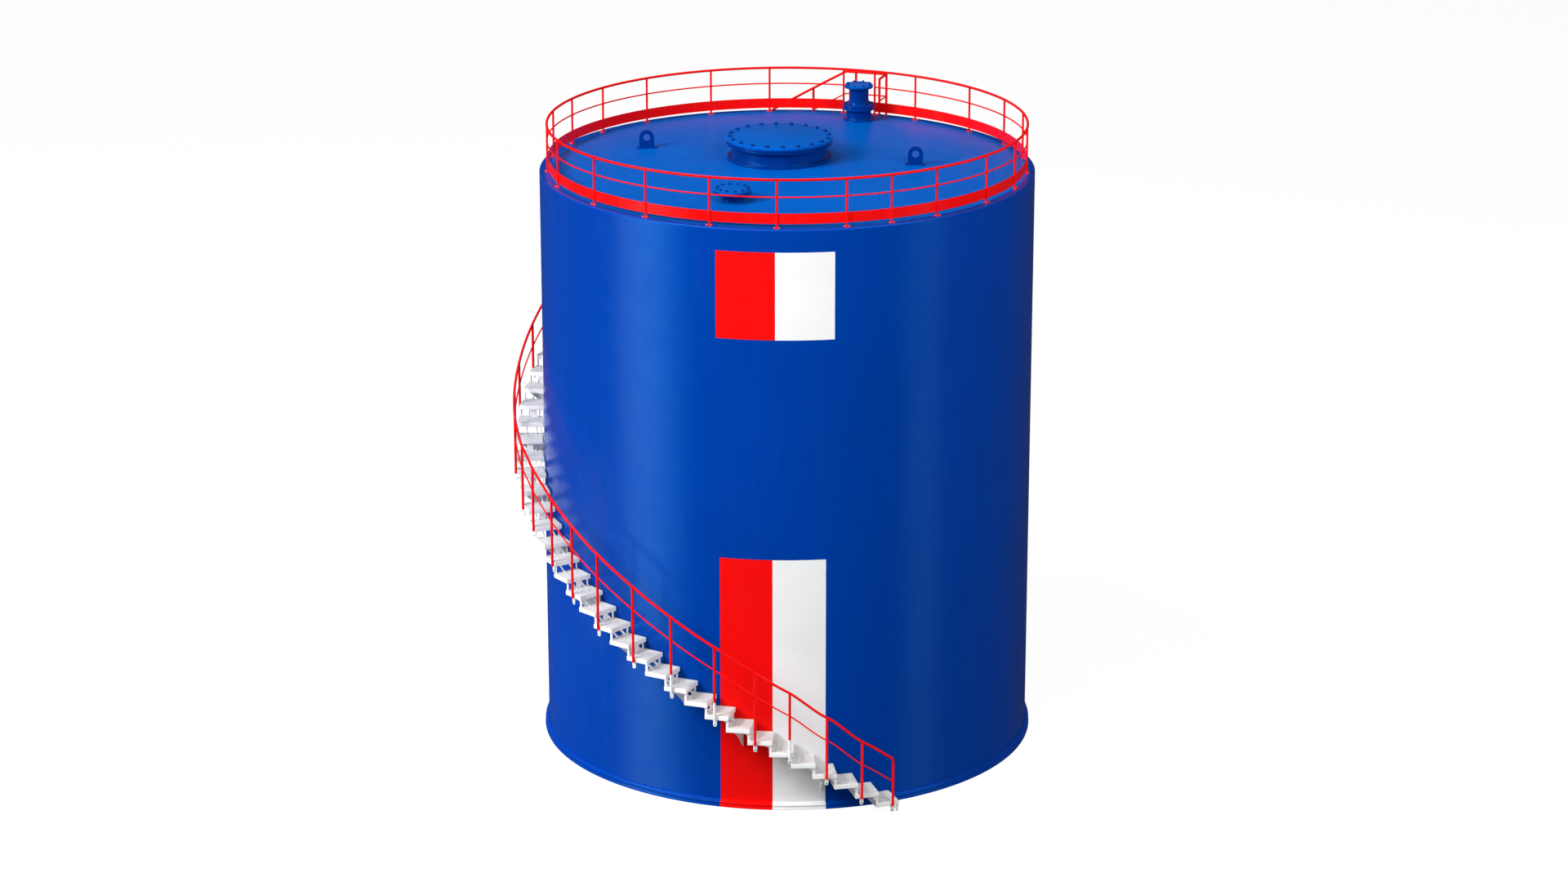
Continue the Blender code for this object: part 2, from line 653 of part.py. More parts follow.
def landing_frame():
    """Middle of the landing's outer edge, level with the last tread."""
    return place((LANDING_START + LANDING_END) / 2, TREAD_OUTER, LANDING_Z)


def make_landing():
    """Platform that carries on from the last tread, one step below the roof, on two knee brackets."""
    half = radians(LANDING_START - LANDING_END) / 2
    turn = half + radians(tread_bearing(STAIR_TREADS - 1) - LANDING_START)
    width = TREAD_OUTER - TREAD_INNER
    pan = bmesh.new()
    add_pan(pan, landing_frame(), 2 * TREAD_OUTER * tan(half), width, TREAD_SKIRT, width * tan(turn))
    knees = bmesh.new()
    for part in (0.2, 0.8):
        add_knee(knees, LANDING_START + (LANDING_END - LANDING_START) * part, LANDING_Z - TREAD_SKIRT)
    fused = combine(mesh_from(pan, "pan"), mesh_from(knees, "knees"), "UNION", True)
    make_object("top_landing", fused, "white_paint")


def handrail_above(bearing):
    """Smoothly blended between the stated heights."""
    for (high, first), (low, last) in zip(HANDRAIL_ABOVE, HANDRAIL_ABOVE[1:]):
        if bearing >= low:
            share = max(0, (high - bearing) / (high - low))
            return first + (last - first) * share * share * (3 - 2 * share)
    return HANDRAIL_ABOVE[-1][1]


def handrail_z(bearing):
    return min(walk_line(bearing) + handrail_above(bearing), LANDING_RAIL_Z)


def mid_rail_z(bearing):
    return handrail_z(bearing) - MID_RAIL_DROP


def add_stair_post(bm, frame, top):
    seat = frame @ Vector((0, GAP + STAIR_TUBE, -TREAD_SKIRT))
    add_tube(bm, [seat, Vector((seat.x, seat.y, top))], STAIR_TUBE, 6)


def make_stair_rail(number):
    """Posts, handrail and mid rail beside one flight."""
    radius = TREAD_OUTER + GAP + STAIR_TUBE
    trim = degrees(GAP / radius) / 2
    span = STEP * TREADS_PER_FLIGHT
    start = STAIR_START - span * number - trim
    end = start - span + 2 * trim
    inside = [(index, bearing) for index, bearing in stair_post_bearings() if end < bearing < start]
    if number == 0:
        start = inside[0][1]
    bends = bay_bearings(start, end, [bearing for _, bearing in inside])
    rails = bmesh.new()
    add_rail(rails, radius, bends, handrail_z, STAIR_TUBE, 6, STAIR_STRETCH)
    add_rail(rails, radius, bends, mid_rail_z, STAIR_MID_TUBE, 4, STAIR_STRETCH)
    posts = bmesh.new()
    for index, bearing in inside:
        add_stair_post(posts, post_frame(index, bearing, tread_top(index)), handrail_z(bearing))
    name = f"stair_rail_{number + 1}"
    fused = combine(mesh_from(rails, "rails"), mesh_from(posts, "posts"), "UNION", True)
    make_object(name, fused, "red_paint")


def make_landing_rail():
    """Rail along the outer side of the landing and across its far end."""
    radius = TREAD_OUTER + GAP + STAIR_TUBE
    trim = degrees(GAP / radius) / 2
    start = STAIR_START - STEP * STAIR_TREADS - trim
    frame = landing_frame()
    half = radians(LANDING_POSTS[0] - LANDING_POSTS[1]) / 2 * TREAD_OUTER
    inner_y = TREAD_INNER - TREAD_OUTER + 0.09
    bends = bay_bearings(start, LANDING_POSTS[1], LANDING_POSTS)
    rails = bmesh.new()
    legs = bmesh.new()
    mid = LANDING_RAIL_Z - MID_RAIL_DROP
    for height, tube, sides in ((LANDING_RAIL_Z, STAIR_TUBE, 6), (mid, STAIR_MID_TUBE, 4)):
        add_rail(rails, radius, bends, lambda _: height, tube, sides)
        level = height - LANDING_Z
        outer = frame @ Vector((half, GAP + STAIR_TUBE, level))
        add_tube(legs, [outer, frame @ Vector((half, inner_y, level))], tube, sides)
    posts = bmesh.new()
    for along in (-half, half):
        add_stair_post(posts, frame @ Matrix.Translation((along, 0, 0)), LANDING_RAIL_Z)
    low = frame @ Vector((half, inner_y, GAP))
    add_tube(posts, [low, Vector((low.x, low.y, LANDING_RAIL_Z))], STAIR_TUBE, 6)
    fused = combine(mesh_from(rails, "rails"), mesh_from(legs, "legs"), "UNION", True)
    fused = combine(fused, mesh_from(posts, "posts"), "UNION", True)
    make_object("landing_rail", fused, "red_paint")


def main():
    clear_scene()
    make_bottom_plate()
    make_chime_ring()
    make_shell_segments()
    make_roof_rim()
    make_roof_plate()
    make_manhole()
    make_hatch()
    make_nozzle()
    make_lug("lifting_lug_left", LUG_LEFT)
    make_lug("lifting_lug_right", LUG_RIGHT)
    for index in range(len(GUARD_POSTS)):
        make_guard_section(index)
    for number in range(FLIGHTS):
        make_flight(number)
        make_stair_rail(number)
    make_landing()
    make_landing_rail()


main()
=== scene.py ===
"""Vertical storage tank: the dressed model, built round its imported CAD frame.

Laid out as a Blender add-on and run as a script. Metres, +Z up; the front looks along -Y.
A bearing is an angle in degrees seen from above: 0 is the front and positive goes to +X.
"""

from math import atan, cos, degrees, floor, pi, radians, sin, sqrt, tan

import bmesh
import bpy
from bmesh.types import BMEdge, BMVert
from mathutils import Matrix, Vector


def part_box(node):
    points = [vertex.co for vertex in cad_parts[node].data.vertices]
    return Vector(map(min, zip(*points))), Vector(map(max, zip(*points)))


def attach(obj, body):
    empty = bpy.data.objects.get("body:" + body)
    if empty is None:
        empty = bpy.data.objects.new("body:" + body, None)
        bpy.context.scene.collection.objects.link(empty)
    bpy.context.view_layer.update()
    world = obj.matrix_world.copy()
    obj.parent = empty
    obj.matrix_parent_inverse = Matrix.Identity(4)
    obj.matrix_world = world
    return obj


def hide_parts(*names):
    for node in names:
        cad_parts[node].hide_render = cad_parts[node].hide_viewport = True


bl_info = {
    "name": "Vertical Storage Tank",
    "version": (1, 0, 0),
    "blender": (4, 5, 0),
    "location": "View3D > Sidebar > Storage Tank",
    "description": "Builds the dressed storage tank piece by piece round its CAD frame",
    "category": "Add Mesh",
}

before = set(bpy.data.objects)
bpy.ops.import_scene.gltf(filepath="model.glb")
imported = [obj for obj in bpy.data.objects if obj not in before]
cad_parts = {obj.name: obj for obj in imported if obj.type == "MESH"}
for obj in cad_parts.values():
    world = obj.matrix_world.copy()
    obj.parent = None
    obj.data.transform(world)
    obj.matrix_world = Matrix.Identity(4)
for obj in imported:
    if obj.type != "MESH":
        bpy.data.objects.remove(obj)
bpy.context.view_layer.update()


def cad_round(node):
    """Centre, radius and heights of a round CAD node that stands upright."""
    low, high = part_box(node)
    return (low.x + high.x) / 2, (low.y + high.y) / 2, (high.x - low.x) / 2, low.z, high.z


def cad_family(stem):
    """Names of the numbered CAD nodes of one kind."""
    return sorted(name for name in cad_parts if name.startswith(stem))


# Tank body, from the CAD frame
SHELL_RADIUS = cad_round("roof_rim")[2]
EAVES_Z = cad_round("roof_rim")[4]
BOTTOM_RADIUS = cad_round("bottom_plate")[2]
BOTTOM_TOP = cad_round("bottom_plate")[4]
ROOF_EDGE = cad_round("roof_plate")[2]
RIM_INNER = 5.010
RIM_DEPTH = 0.050
ROOF_RISE = 0.170
SHELL_PLATE = 0.008

# Gap between neighbouring pieces, and the wider one round the shell, the manhole's neck and the lugs
GAP = 0.0003
CLEARANCE = 0.0006
# Degrees between the cross sections of a rail that follows the tank
HOOP_STEP = 1.25
# Degrees left free at each end of a section of rail, and the sides of the thin mid rails
SECTION_GAP = 0.002
MID_SIDES = 12

# Guard rail: radii, heights and the bearings of its posts, section by section
GUARD_RADIUS = 5.045
GUARD_TOP_Z = 13.415
GUARD_MID_Z = 13.060
TOE_RADIUS = 5.028
TOE_BOTTOM_Z = 12.510
TOE_TOP_Z = 12.725
TOE_PLATE = 0.008
GATE_POSTS = (157.4, 165.6)
GUARD_POSTS = (
    (-175.6, -160.5, -142.4), (-127.5, -113.7, -100.2), (-85.0, -69.9, -51.1), (-34.4, -18.0, -2.4),
    (13.6, 24.4, 36.6), (53.5, 68.5, 83.5), (98.1, 112.5, 128.2), (146.0, 157.4, 165.6),
)

# Stair
RISERS = 50
STAIR_START = 23.2
STAIR_END = -194.0
LANDING_END = -203.2
TREADS_PER_FLIGHT = 7
TREAD_INNER = 5.240
TREAD_OUTER = 5.820
TREAD_LAP = 0.050
TREAD_SKIRT = 0.095
# Plain sheet left beside the holes of a tread, both edges together, and the width of a hole's raised lip
PLAIN_EDGES = 0.056
HOLE_LIP = 0.0035
RISE = EAVES_Z / RISERS
STEP = (STAIR_START - STAIR_END) / (RISERS - 1)
TREADS = RISERS - 1
FLIGHTS = TREADS // TREADS_PER_FLIGHT
TREAD_GOING = 2 * TREAD_OUTER * sin(radians(STEP / 2)) + TREAD_LAP
TREAD_WIDTH = TREAD_OUTER - TREAD_INNER
KNEE_TREADS = (3, *range(7, TREADS, 3))
LANDING_START = STAIR_END + STEP / 2 - degrees(atan((TREAD_GOING / 2 + GAP) / TREAD_OUTER))
LANDING_Z = RISE * TREADS
LANDING_RAIL_Z = 13.180
STAIR_RAIL_RADIUS = TREAD_OUTER + 0.0260
POST_OFFSET = 0.0278
CORNER_REACH = 0.060
CORNER_STEPS = 5
STAIR_POSTS = (
    22.0, 15.3, 8.0, 0.5, -6.5, -14.8, -24.1, -32.9, -42.1, -49.8, -56.9, -65.7,
    -73.2, -82.4, -90.3, -98.1, -108.4,
)
STAIR_POST_PITCH = 8.6
SLEEVED_POSTS = (3, 5, 6)
SLEEVE_HEIGHT = 0.300
LANDING_POSTS = (-195.4, -202.4)
MID_RAIL_DROP = 0.500
# Height of the handrail over the line of the treads, at bearings down the stair
HANDRAIL_ABOVE = (
    (23.2, 1.00), (16.0, 1.09), (8.0, 1.28), (0.0, 1.42), (-15.0, 1.49), (-35.0, 1.52), (-50.0, 1.50),
    (-60.0, 1.46), (-68.0, 1.37), (-76.0, 1.20), (-86.0, 1.02), (-100.0, 0.93), (-203.2, 0.93),
)

# Painted bands on the shell: bearings of the left edge, the change of colour and the right edge, then heights
UPPER_BAND = (-16.03, -2.71, 10.53, 10.147, 11.968)
LOWER_BAND = (-15.35, -3.32, 8.72, -1.0, 5.475)

# Camera of the photograph: place, angle below the level and focal length in millimetres
CAMERA_PLACE = (-0.067, -84.61, 33.658)
CAMERA_DIP = 0.3122
CAMERA_LENS = 94.84


def linear(code):
    """A colour written as sRGB hex, as linear values with full alpha."""
    parts = [int(code[place:place + 2], 16) / 255 for place in (1, 3, 5)]
    return (*(c / 12.92 if c <= 0.04045 else ((c + 0.055) / 1.055) ** 2.4 for c in parts), 1.0)


def length(name, description, metres):
    """A length that a user may change."""
    return bpy.props.FloatProperty(name=name, description=description, default=metres, unit="LENGTH")


def enamel_colour(name, description, code):
    """A colour that a user may change, from sRGB hex."""
    return bpy.props.FloatVectorProperty(name=name, description=description, default=linear(code),
                                         subtype="COLOR", size=4, min=0, max=1)


class TankSizes(bpy.types.PropertyGroup):
    """Sizes that a user may change."""
    round_steps: bpy.props.IntProperty(
        name="Round steps", description="Steps round the shell, the roof and the chime", default=256, min=32)
    fitting_steps: bpy.props.IntProperty(
        name="Fitting steps", description="Steps round a roof fitting", default=96, min=24)
    tube_sides: bpy.props.IntProperty(
        name="Tube sides", description="Sides of the rails and posts", default=16, min=6)
    rail_tube: length("Rail tube", "Radius of the handrail tube", 0.0272)
    mid_tube: length("Mid rail tube", "Radius of the mid rail tube", 0.016)
    post_tube: length("Guard post tube", "Radius of a roof guard rail post", 0.0225)
    hole_row_pitch: length("Row pitch", "Distance between rows of tread holes", 0.046)
    hole_pitch: length("Hole pitch", "Distance between holes in a row", 0.032)
    hole_radius: length("Hole radius", "Radius of a tread hole", 0.012)
    tread_sheet: length("Tread sheet", "Thickness of the folded tread sheet", 0.004)
    fold_radius: length("Fold radius", "Outer radius of the folds of a tread", 0.007)


class TankPaint(bpy.types.PropertyGroup):
    """Paints that a user may change."""
    blue: enamel_colour("Blue enamel", "Shell and chime", "#003795")
    # The fittings' darker blue is painted shade: it stands for the shadow under flanges and lids
    painted_shade_blue: enamel_colour("Unbleached blue enamel", "Flanges, necks, bolts and lugs", "#002A74")
    # The lighter blue of level faces is painted sheen: it stands for the light and sky reflection that fall
    # on them from above
    level_painted_sheen_blue: enamel_colour("Bleached blue enamel", "Level faces of the roof and its lids", "#0051A9")
    red: enamel_colour("Red enamel", "Rails and the red half of the bands", "#E80C0C")
    white: enamel_colour("White enamel", "Stair and the white half of the bands", "#E6E7E8")
    # Dust also gives the painted shade on the level tops of the treads
    dust: enamel_colour("Dust", "Dust that settles on level faces", "#8F8B84")
    zinc: enamel_colour("Zinc plate", "Bolts of the stair and the guard rail", "#C3C6C8")


def outward(bearing):
    return Vector((sin(radians(bearing)), -cos(radians(bearing)), 0))


def spot(bearing, radius, height):
    """Point at a bearing, a radius from the tank's axis and a height."""
    return outward(bearing) * radius + Vector((0, 0, height))


def place(bearing, radius, height):
    """Frame whose X runs uphill along the stair, Y points away from the tank and Z is up."""
    uphill = Vector((-cos(radians(bearing)), -sin(radians(bearing)), 0))
    rotation = Matrix((uphill, outward(bearing), Vector((0, 0, 1)))).transposed().to_4x4()
    return Matrix.Translation(spot(bearing, radius, height)) @ rotation


def roof_z(x, y):
    return EAVES_Z + ROOF_RISE * (1 - sqrt(x * x + y * y) / RIM_INNER)


def walk_line(bearing):
    """Height of the line through the middles of the treads."""
    return RISE * ((STAIR_START - bearing) / STEP + 0.5)


def tread_bearing(index):
    return STAIR_START - STEP * (index + 0.5)


def tread_top(index):
    return RISE * (index + 1)


def handrail_z(bearing):
    """The stated heights over the walking line, smoothly blended and capped at the landing rail's height."""
    above = HANDRAIL_ABOVE[-1][1]
    for (high, first), (low, last) in zip(HANDRAIL_ABOVE, HANDRAIL_ABOVE[1:]):
        if bearing >= low:
            share = max(0, (high - bearing) / (high - low))
            above = first + (last - first) * share * share * (3 - 2 * share)
            break
    return min(walk_line(bearing) + above, LANDING_RAIL_Z)


def mid_rail_z(bearing):
    return handrail_z(bearing) - MID_RAIL_DROP


def stair_post_list():
    """Tread number and bearing of every stair post, each kept clear of the ends of its tread."""
    wanted = list(STAIR_POSTS)
    while wanted[-1] - STAIR_POST_PITCH > STAIR_END + 0.5:
        wanted.append(wanted[-1] - STAIR_POST_PITCH)
    posts = []
    for bearing in wanted:
        index = min(floor((STAIR_START - bearing) / STEP), TREADS - 1)
        reach = STEP / 2 - 0.5
        posts.append((index, tread_bearing(index) + max(-reach, min(reach, bearing - tread_bearing(index)))))
    return posts


def post_frame(index, bearing, height):
    """Frame of a post on the flat outer skirt of its tread."""
    middle = tread_bearing(index)
    uphill = -TREAD_OUTER * radians(bearing - middle)
    return place(middle, TREAD_OUTER, height) @ Matrix.Translation((uphill, 0, 0))


def post_point(index, bearing, height):
    """Point on the axis of a stair post, which stands just outside the skirt of its tread."""
    axis = post_frame(index, bearing, 0) @ Vector((0, POST_OFFSET, 0))
    return Vector((axis.x, axis.y, height))


def of_kind(made, kind):
    """The vertices or the edges in what a bmesh operator returns."""
    return [item for item in made["geom"] if isinstance(item, kind)]


def edges_at(verts):
    """Every edge that meets these vertices, once."""
    return list({edge for vert in verts for edge in vert.link_edges})


def round_off(bm, geom, reach, segments, affect="EDGES"):
    """Take edges or corners off by a length, in a few steps."""
    bmesh.ops.bevel(bm, geom=geom, offset=reach, offset_type="OFFSET", segments=segments, profile=0.5,
                    affect=affect, material=-1, clamp_overlap=True)


def to_mesh(bm):
    """Close a bmesh into a mesh: doubles merged, then normals turned out."""
    bmesh.ops.remove_doubles(bm, verts=bm.verts, dist=1e-5)
    bmesh.ops.recalc_face_normals(bm, faces=bm.faces)
    data = bpy.data.meshes.new("part")
    bm.to_mesh(data)
    bm.free()
    return data


def stamp(bm, template, where=Matrix()):
    """Add a copy of a template mesh to a bmesh."""
    copy = template.copy()
    copy.transform(where)
    bm.from_mesh(copy)
    bpy.data.meshes.remove(copy)


def gather(parts):
    """One bmesh out of (template, frame) pairs."""
    bm = bmesh.new()
    for template, where in parts:
        stamp(bm, template, where)
    return bm


def add_object(name, data):
    """Object at the origin, in the scene."""
    made = bpy.data.objects.new(name, data)
    bpy.context.scene.collection.objects.link(made)
    return made


def finish_piece(data, name, material, replaced=(), slot="blue_paint", crisp=32):
    """Name a mesh, shade it, paint it and ride it on the tank."""
    data.name = name
    data.materials.clear()
    data.materials.append(material)
    data.shade_smooth()
    data.set_sharp_from_angle(angle=radians(crisp))
    piece = add_object(name, data)
    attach(piece, "root")
    if replaced:
        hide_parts(*replaced)


def finish_parts(parts, *wanted, **settings):
    """Gather (template, frame) pairs and finish them as one piece."""
    finish_piece(to_mesh(gather(parts)), *wanted, **settings)


def ring_section(inner, outer, low, high):
    """Rectangular (radius, height) section."""
    return (inner, low), (outer, low), (outer, high), (inner, high)


def turned_mesh(profile, steps, rounding=0.0, segments=2):
    """Spin a closed (radius, height) profile the whole way round; corners off the axis may be rounded."""
    bm = bmesh.new()
    corners = [bm.verts.new((radius, 0, height)) for radius, height in profile]
    bm.faces.new(corners)
    if rounding:
        round_off(bm, [corner for corner in corners if corner.co.x > 1e-6], rounding, segments, "VERTICES")
    bmesh.ops.delete(bm, geom=bm.faces[:], context="FACES_ONLY")
    on_axis = [edge for edge in bm.edges if all(vert.co.x < 1e-6 for vert in edge.verts)]
    bmesh.ops.delete(bm, geom=on_axis, context="EDGES_FACES")
    bmesh.ops.spin(bm, geom=bm.verts[:] + bm.edges[:], axis=(0, 0, 1), angle=2 * pi, steps=steps,
                   use_merge=True)
    return to_mesh(bm)


def block_mesh(low, high, rounding=0.0015, segments=1):
    """Rectangular block with its edges taken off."""
    bm = bmesh.new()
    low, high = Vector(low), Vector(high)
    size = Matrix.Diagonal((*(high - low), 1))
    bmesh.ops.create_cube(bm, size=1, matrix=Matrix.Translation((low + high) / 2) @ size)
    round_off(bm, bm.edges[:], rounding, segments)
    return to_mesh(bm)


def plate_mesh(corners, low, high, segments=6):
    """Flat plate in the XZ plane, from y = low to y = high; each corner is (x, z, rounding)."""
    bm = bmesh.new()
    verts = [bm.verts.new((x, low, z)) for x, z, _ in corners]
    bm.faces.new(verts)
    for vert, (_, _, rounding) in zip(verts, corners):
        if rounding:
            round_off(bm, [vert], rounding, segments, "VERTICES")
    grown = bmesh.ops.extrude_face_region(bm, geom=bm.faces[:], use_keep_orig=True)
    bmesh.ops.translate(bm, verts=of_kind(grown, BMVert), vec=(0, high - low, 0))
    return to_mesh(bm)


def path_frames(points):
    """A frame at each point of a path, its Z along the path and its X level."""
    frames = []
    for index, point in enumerate(points):
        along = (points[min(index + 1, len(points) - 1)] - points[max(index - 1, 0)]).normalized()
        level = along.cross(Vector((0, 0, 1)))
        side = level.normalized() if level.length > 0.02 else Vector((1, 0, 0))
        turn = Matrix((side, along.cross(side), along)).transposed().to_4x4()
        frames.append(Matrix.Translation(point) @ turn)
    return frames


def add_tube(bm, points, radius, sides):
    """Round bar along a path with a flat face at each end."""
    frames = path_frames(points)
    made = bmesh.ops.create_circle(bm, segments=sides, radius=radius, matrix=frames[0])
    first = loop = edges_at(made["verts"])
    for before, after in zip(frames, frames[1:]):
        grown = bmesh.ops.extrude_edge_only(bm, edges=loop)
        loop = of_kind(grown, BMEdge)
        bmesh.ops.transform(bm, matrix=after @ before.inverted(), verts=of_kind(grown, BMVert))
    for end in (first, loop):
        bmesh.ops.contextual_create(bm, geom=end)


def add_spun(bm, loop, start, end):
    """Spin a closed loop of edges round the tank from one bearing to another and close both ends."""
    verts = list({vert for edge in loop for vert in edge.verts})
    made = bmesh.ops.spin(bm, geom=verts + loop, axis=(0, 0, 1), angle=radians(end - start),
                          steps=max(2, round((end - start) / HOOP_STEP)))
    bmesh.ops.contextual_create(bm, geom=loop)
    bmesh.ops.contextual_create(bm, geom=[item for item in made["geom_last"] if isinstance(item, BMEdge)])


def add_hoop(bm, start, end, radius, height, tube, sides):
    """Level round bar that follows the tank from one bearing to another."""
    upright = place(start, radius, height) @ Matrix.Rotation(pi / 2, 4, "Y")
    made = bmesh.ops.create_circle(bm, segments=sides, radius=tube, matrix=upright)
    add_spun(bm, edges_at(made["verts"]), start, end)


def add_strip(bm, start, end, corners):
    """Level strip with a (radius, height) section that follows the tank from one bearing to another."""
    verts = [bm.verts.new(spot(start, radius, height)) for radius, height in corners]
    add_spun(bm, [bm.edges.new((verts[i - 1], verts[i])) for i in range(len(verts))], start, end)


def add_hexagon(bm, low_radius, high_radius, depth, middle):
    """Six-sided prism or taper on the Z axis."""
    bmesh.ops.create_cone(bm, cap_ends=True, segments=6, radius1=low_radius, radius2=high_radius, depth=depth,
                          matrix=Matrix.Translation((0, 0, middle)))


def dome_bolt(radius):
    """Washer, hexagon and domed cap of a bolt, seated at z = 0."""
    bm = bmesh.new()
    stamp(bm, turned_mesh(ring_section(0, 1.3 * radius, 0, 0.12 * radius), 12))
    add_hexagon(bm, radius, radius, 0.62 * radius, 0.42 * radius)
    top, rise = 0.72 * radius, 0.62 * radius
    arc = [(0.82 * radius * cos(radians(a)), top + rise * sin(radians(a))) for a in (0, 25, 50, 72)]
    stamp(bm, turned_mesh(((0, top - 0.01 * radius), *arc, (0, top + rise)), 12))
    return to_mesh(bm)


def hex_bolt(radius):
    """Washer and chamfered hexagon head of a bolt, seated at z = 0."""
    bm = bmesh.new()
    stamp(bm, turned_mesh(ring_section(0, 1.35 * radius, 0, 0.14 * radius), 12))
    add_hexagon(bm, radius, radius, 0.5 * radius, 0.39 * radius)
    add_hexagon(bm, radius, 0.86 * radius, 0.12 * radius, 0.70 * radius)
    return to_mesh(bm)


def feed(made, inputs):
    """Set inputs of a shader node, by name or number, to values, sockets or the result of other nodes."""
    for key, value in inputs.items():
        if isinstance(value, bpy.types.Node):
            value = next(socket for socket in value.outputs if socket.enabled)
        if isinstance(value, bpy.types.NodeSocket):
            made.id_data.links.new(value, made.inputs[key])
        else:
            made.inputs[key].default_value = value


def node(tree, kind, inputs=None, **settings):
    """Add a shader node with its settings and its inputs."""
    made = tree.nodes.new("ShaderNode" + kind)
    for key, value in settings.items():
        setattr(made, key, value)
    feed(made, inputs or {})
    return made


def new_material(name):
    material = bpy.data.materials.new(name)
    material.use_nodes = True
    return material, material.node_tree, material.node_tree.nodes["Principled BSDF"]


def paint(name):
    """A colour of the panel, as a socket takes it."""
    return tuple(getattr(bpy.context.scene.tank_paint, name))


def noise(tree, vector, period_mm, low, high, detail=2.0):
    """Noise of a period in millimetres, spread so that its middle range fills 0 to 1 between low and high."""
    made = node(tree, "TexNoise", {"Vector": vector, "Scale": 1000 / period_mm, "Detail": detail})
    return node(tree, "MapRange", {0: made, 1: low, 2: high})


def sprayed_enamel(name, colour, roughness, grime=0.01, peel_mm=9, slack_mm=500, shine=0.5, wave_mm=1.5,
                   hue=0.4):
    """Enamel sprayed on steel. The eye gets a colour that drifts a little over a metre or two where the coat
    is thinner, faint rain marks down the wall, highlights that keep some hue of the paint and are blurred by
    a soft orange peel, and the slow waves of thin plate that bend them. The colour is a value, or a function
    that makes a node."""
    if name in bpy.data.materials:
        return bpy.data.materials[name]
    material, tree, shader = new_material(name)
    where = node(tree, "TexCoord").outputs["Object"]
    coat = colour(tree, where) if callable(colour) else colour
    full = node(tree, "MapRange", {0: noise(tree, where, 1800, 0.30, 0.70), 3: 0.93, 4: 1.0})
    drifted = node(tree, "HueSaturation", {"Color": coat, "Value": full})
    hung = node(tree, "Mapping", {"Vector": where, "Scale": (1, 1, 0.08)})
    marks = node(tree, "Math", {0: noise(tree, hung, 260, 0.52, 0.80, 3.0), 1: grime}, operation="MULTIPLY")
    peel = node(tree, "TexNoise", {"Vector": where, "Scale": 1000 / peel_mm, "Detail": 1.0})
    slack = node(tree, "TexNoise", {"Vector": where, "Scale": 1000 / slack_mm, "Detail": 0.0})
    fine = node(tree, "Bump", {"Strength": 0.5, "Distance": 0.00002, "Height": peel})
    haze = noise(tree, where, 420, 0.35, 0.65)
    feed(shader, {
        "Base Color": node(tree, "Mix", {0: marks, 6: drifted, 7: paint("dust")}, data_type="RGBA"),
        "Specular Tint": node(tree, "Gamma", {"Color": drifted, "Gamma": hue}),
        "Roughness": node(tree, "MapRange", {0: haze, 3: roughness - 0.02, 4: roughness + 0.04}),
        "Normal": node(tree, "Bump", {"Strength": 0.5, "Distance": wave_mm / 1000, "Height": slack,
                                      "Normal": fine}),
        "IOR": 1.5, "Specular IOR Level": shine})
    return material


def between(tree, value, low, high):
    """1 where a value lies between two limits, and 0 elsewhere."""
    above = node(tree, "Math", {0: value, 1: low}, operation="GREATER_THAN")
    below = node(tree, "Math", {0: value, 1: high}, operation="LESS_THAN")
    return node(tree, "Math", {0: above, 1: below}, operation="MULTIPLY")


def bearing_of(tree, parts):
    """The bearing, in radians, of a place or a direction that is split into its parts."""
    back = node(tree, "Math", {0: parts[1], 1: -1.0}, operation="MULTIPLY")
    return node(tree, "Math", {0: parts[0], 1: back}, operation="ARCTAN2")


def band_colours(tree, where):
    """Blue ground with the two masked bands, each red on its left and white on its right."""
    parts = node(tree, "SeparateXYZ", {0: where}).outputs
    turn = bearing_of(tree, parts)
    colour = paint("blue")
    for left, change, right, low, high in (UPPER_BAND, LOWER_BAND):
        tall = between(tree, parts[2], low, high)
        for first, last, coat in ((left, change, "red"), (change, right, "white")):
            wide = between(tree, turn, radians(first), radians(last))
            inside = node(tree, "Math", {0: tall, 1: wide}, operation="MULTIPLY")
            colour = node(tree, "Mix", {0: inside, 6: colour, 7: paint(coat)}, data_type="RGBA")
    return colour


def shell_enamel():
    """Gloss alkyd enamel sprayed on rolled plate: deep, even colour, one broad highlight down the wall."""
    return sprayed_enamel("gloss_enamel_on_rolled_plate", band_colours, roughness=0.24, grime=0.006,
                          peel_mm=14, slack_mm=1500, shine=0.36, hue=0.3)


def roof_enamel():
    """Enamel on level plate: a lighter blue that is painted sheen of the light from above, its gloss gone but
    for a faint mirror.
    """
    return sprayed_enamel("gloss_enamel_on_roof_plate", paint("level_painted_sheen_blue"), roughness=0.34, grime=0.0,
                          peel_mm=14, slack_mm=2400, shine=0.06, wave_mm=0.3)


def flange_enamel():
    """Gloss enamel on machined flanges, necks, lugs and bolts, smoother than the roof. Its blue is darker
    than the shell's: painted shade, as if the fittings stood in the shadow of their flanges and lids.
    """
    return sprayed_enamel("gloss_enamel_on_forged_flange", paint("painted_shade_blue"), roughness=0.18, slack_mm=1400,
                          shine=0.6, hue=0.35)


def lid_enamel():
    """Enamel on the flat lids: the same lighter blue of painted sheen, against the darker painted shade of
    the flanges below, so that the bolts stand out dark.
    """
    return sprayed_enamel("gloss_enamel_on_flat_lid", paint("level_painted_sheen_blue"), roughness=0.30, slack_mm=1400,
                          shine=0.12, wave_mm=0.3)


def rail_enamel():
    """Gloss red enamel on drawn tube: full red, lighter along the top of every rail."""
    return sprayed_enamel("gloss_red_enamel_on_tube", paint("red"), roughness=0.25, grime=0.02, slack_mm=600,
                          shine=0.35, wave_mm=1.0, hue=0.45)


def bar_enamel():
    """Satin white enamel on flat bar: no mirror, grey marks where rain runs down."""
    return sprayed_enamel("satin_white_enamel_on_flat_bar", paint("white"), roughness=0.42, grime=0.16)


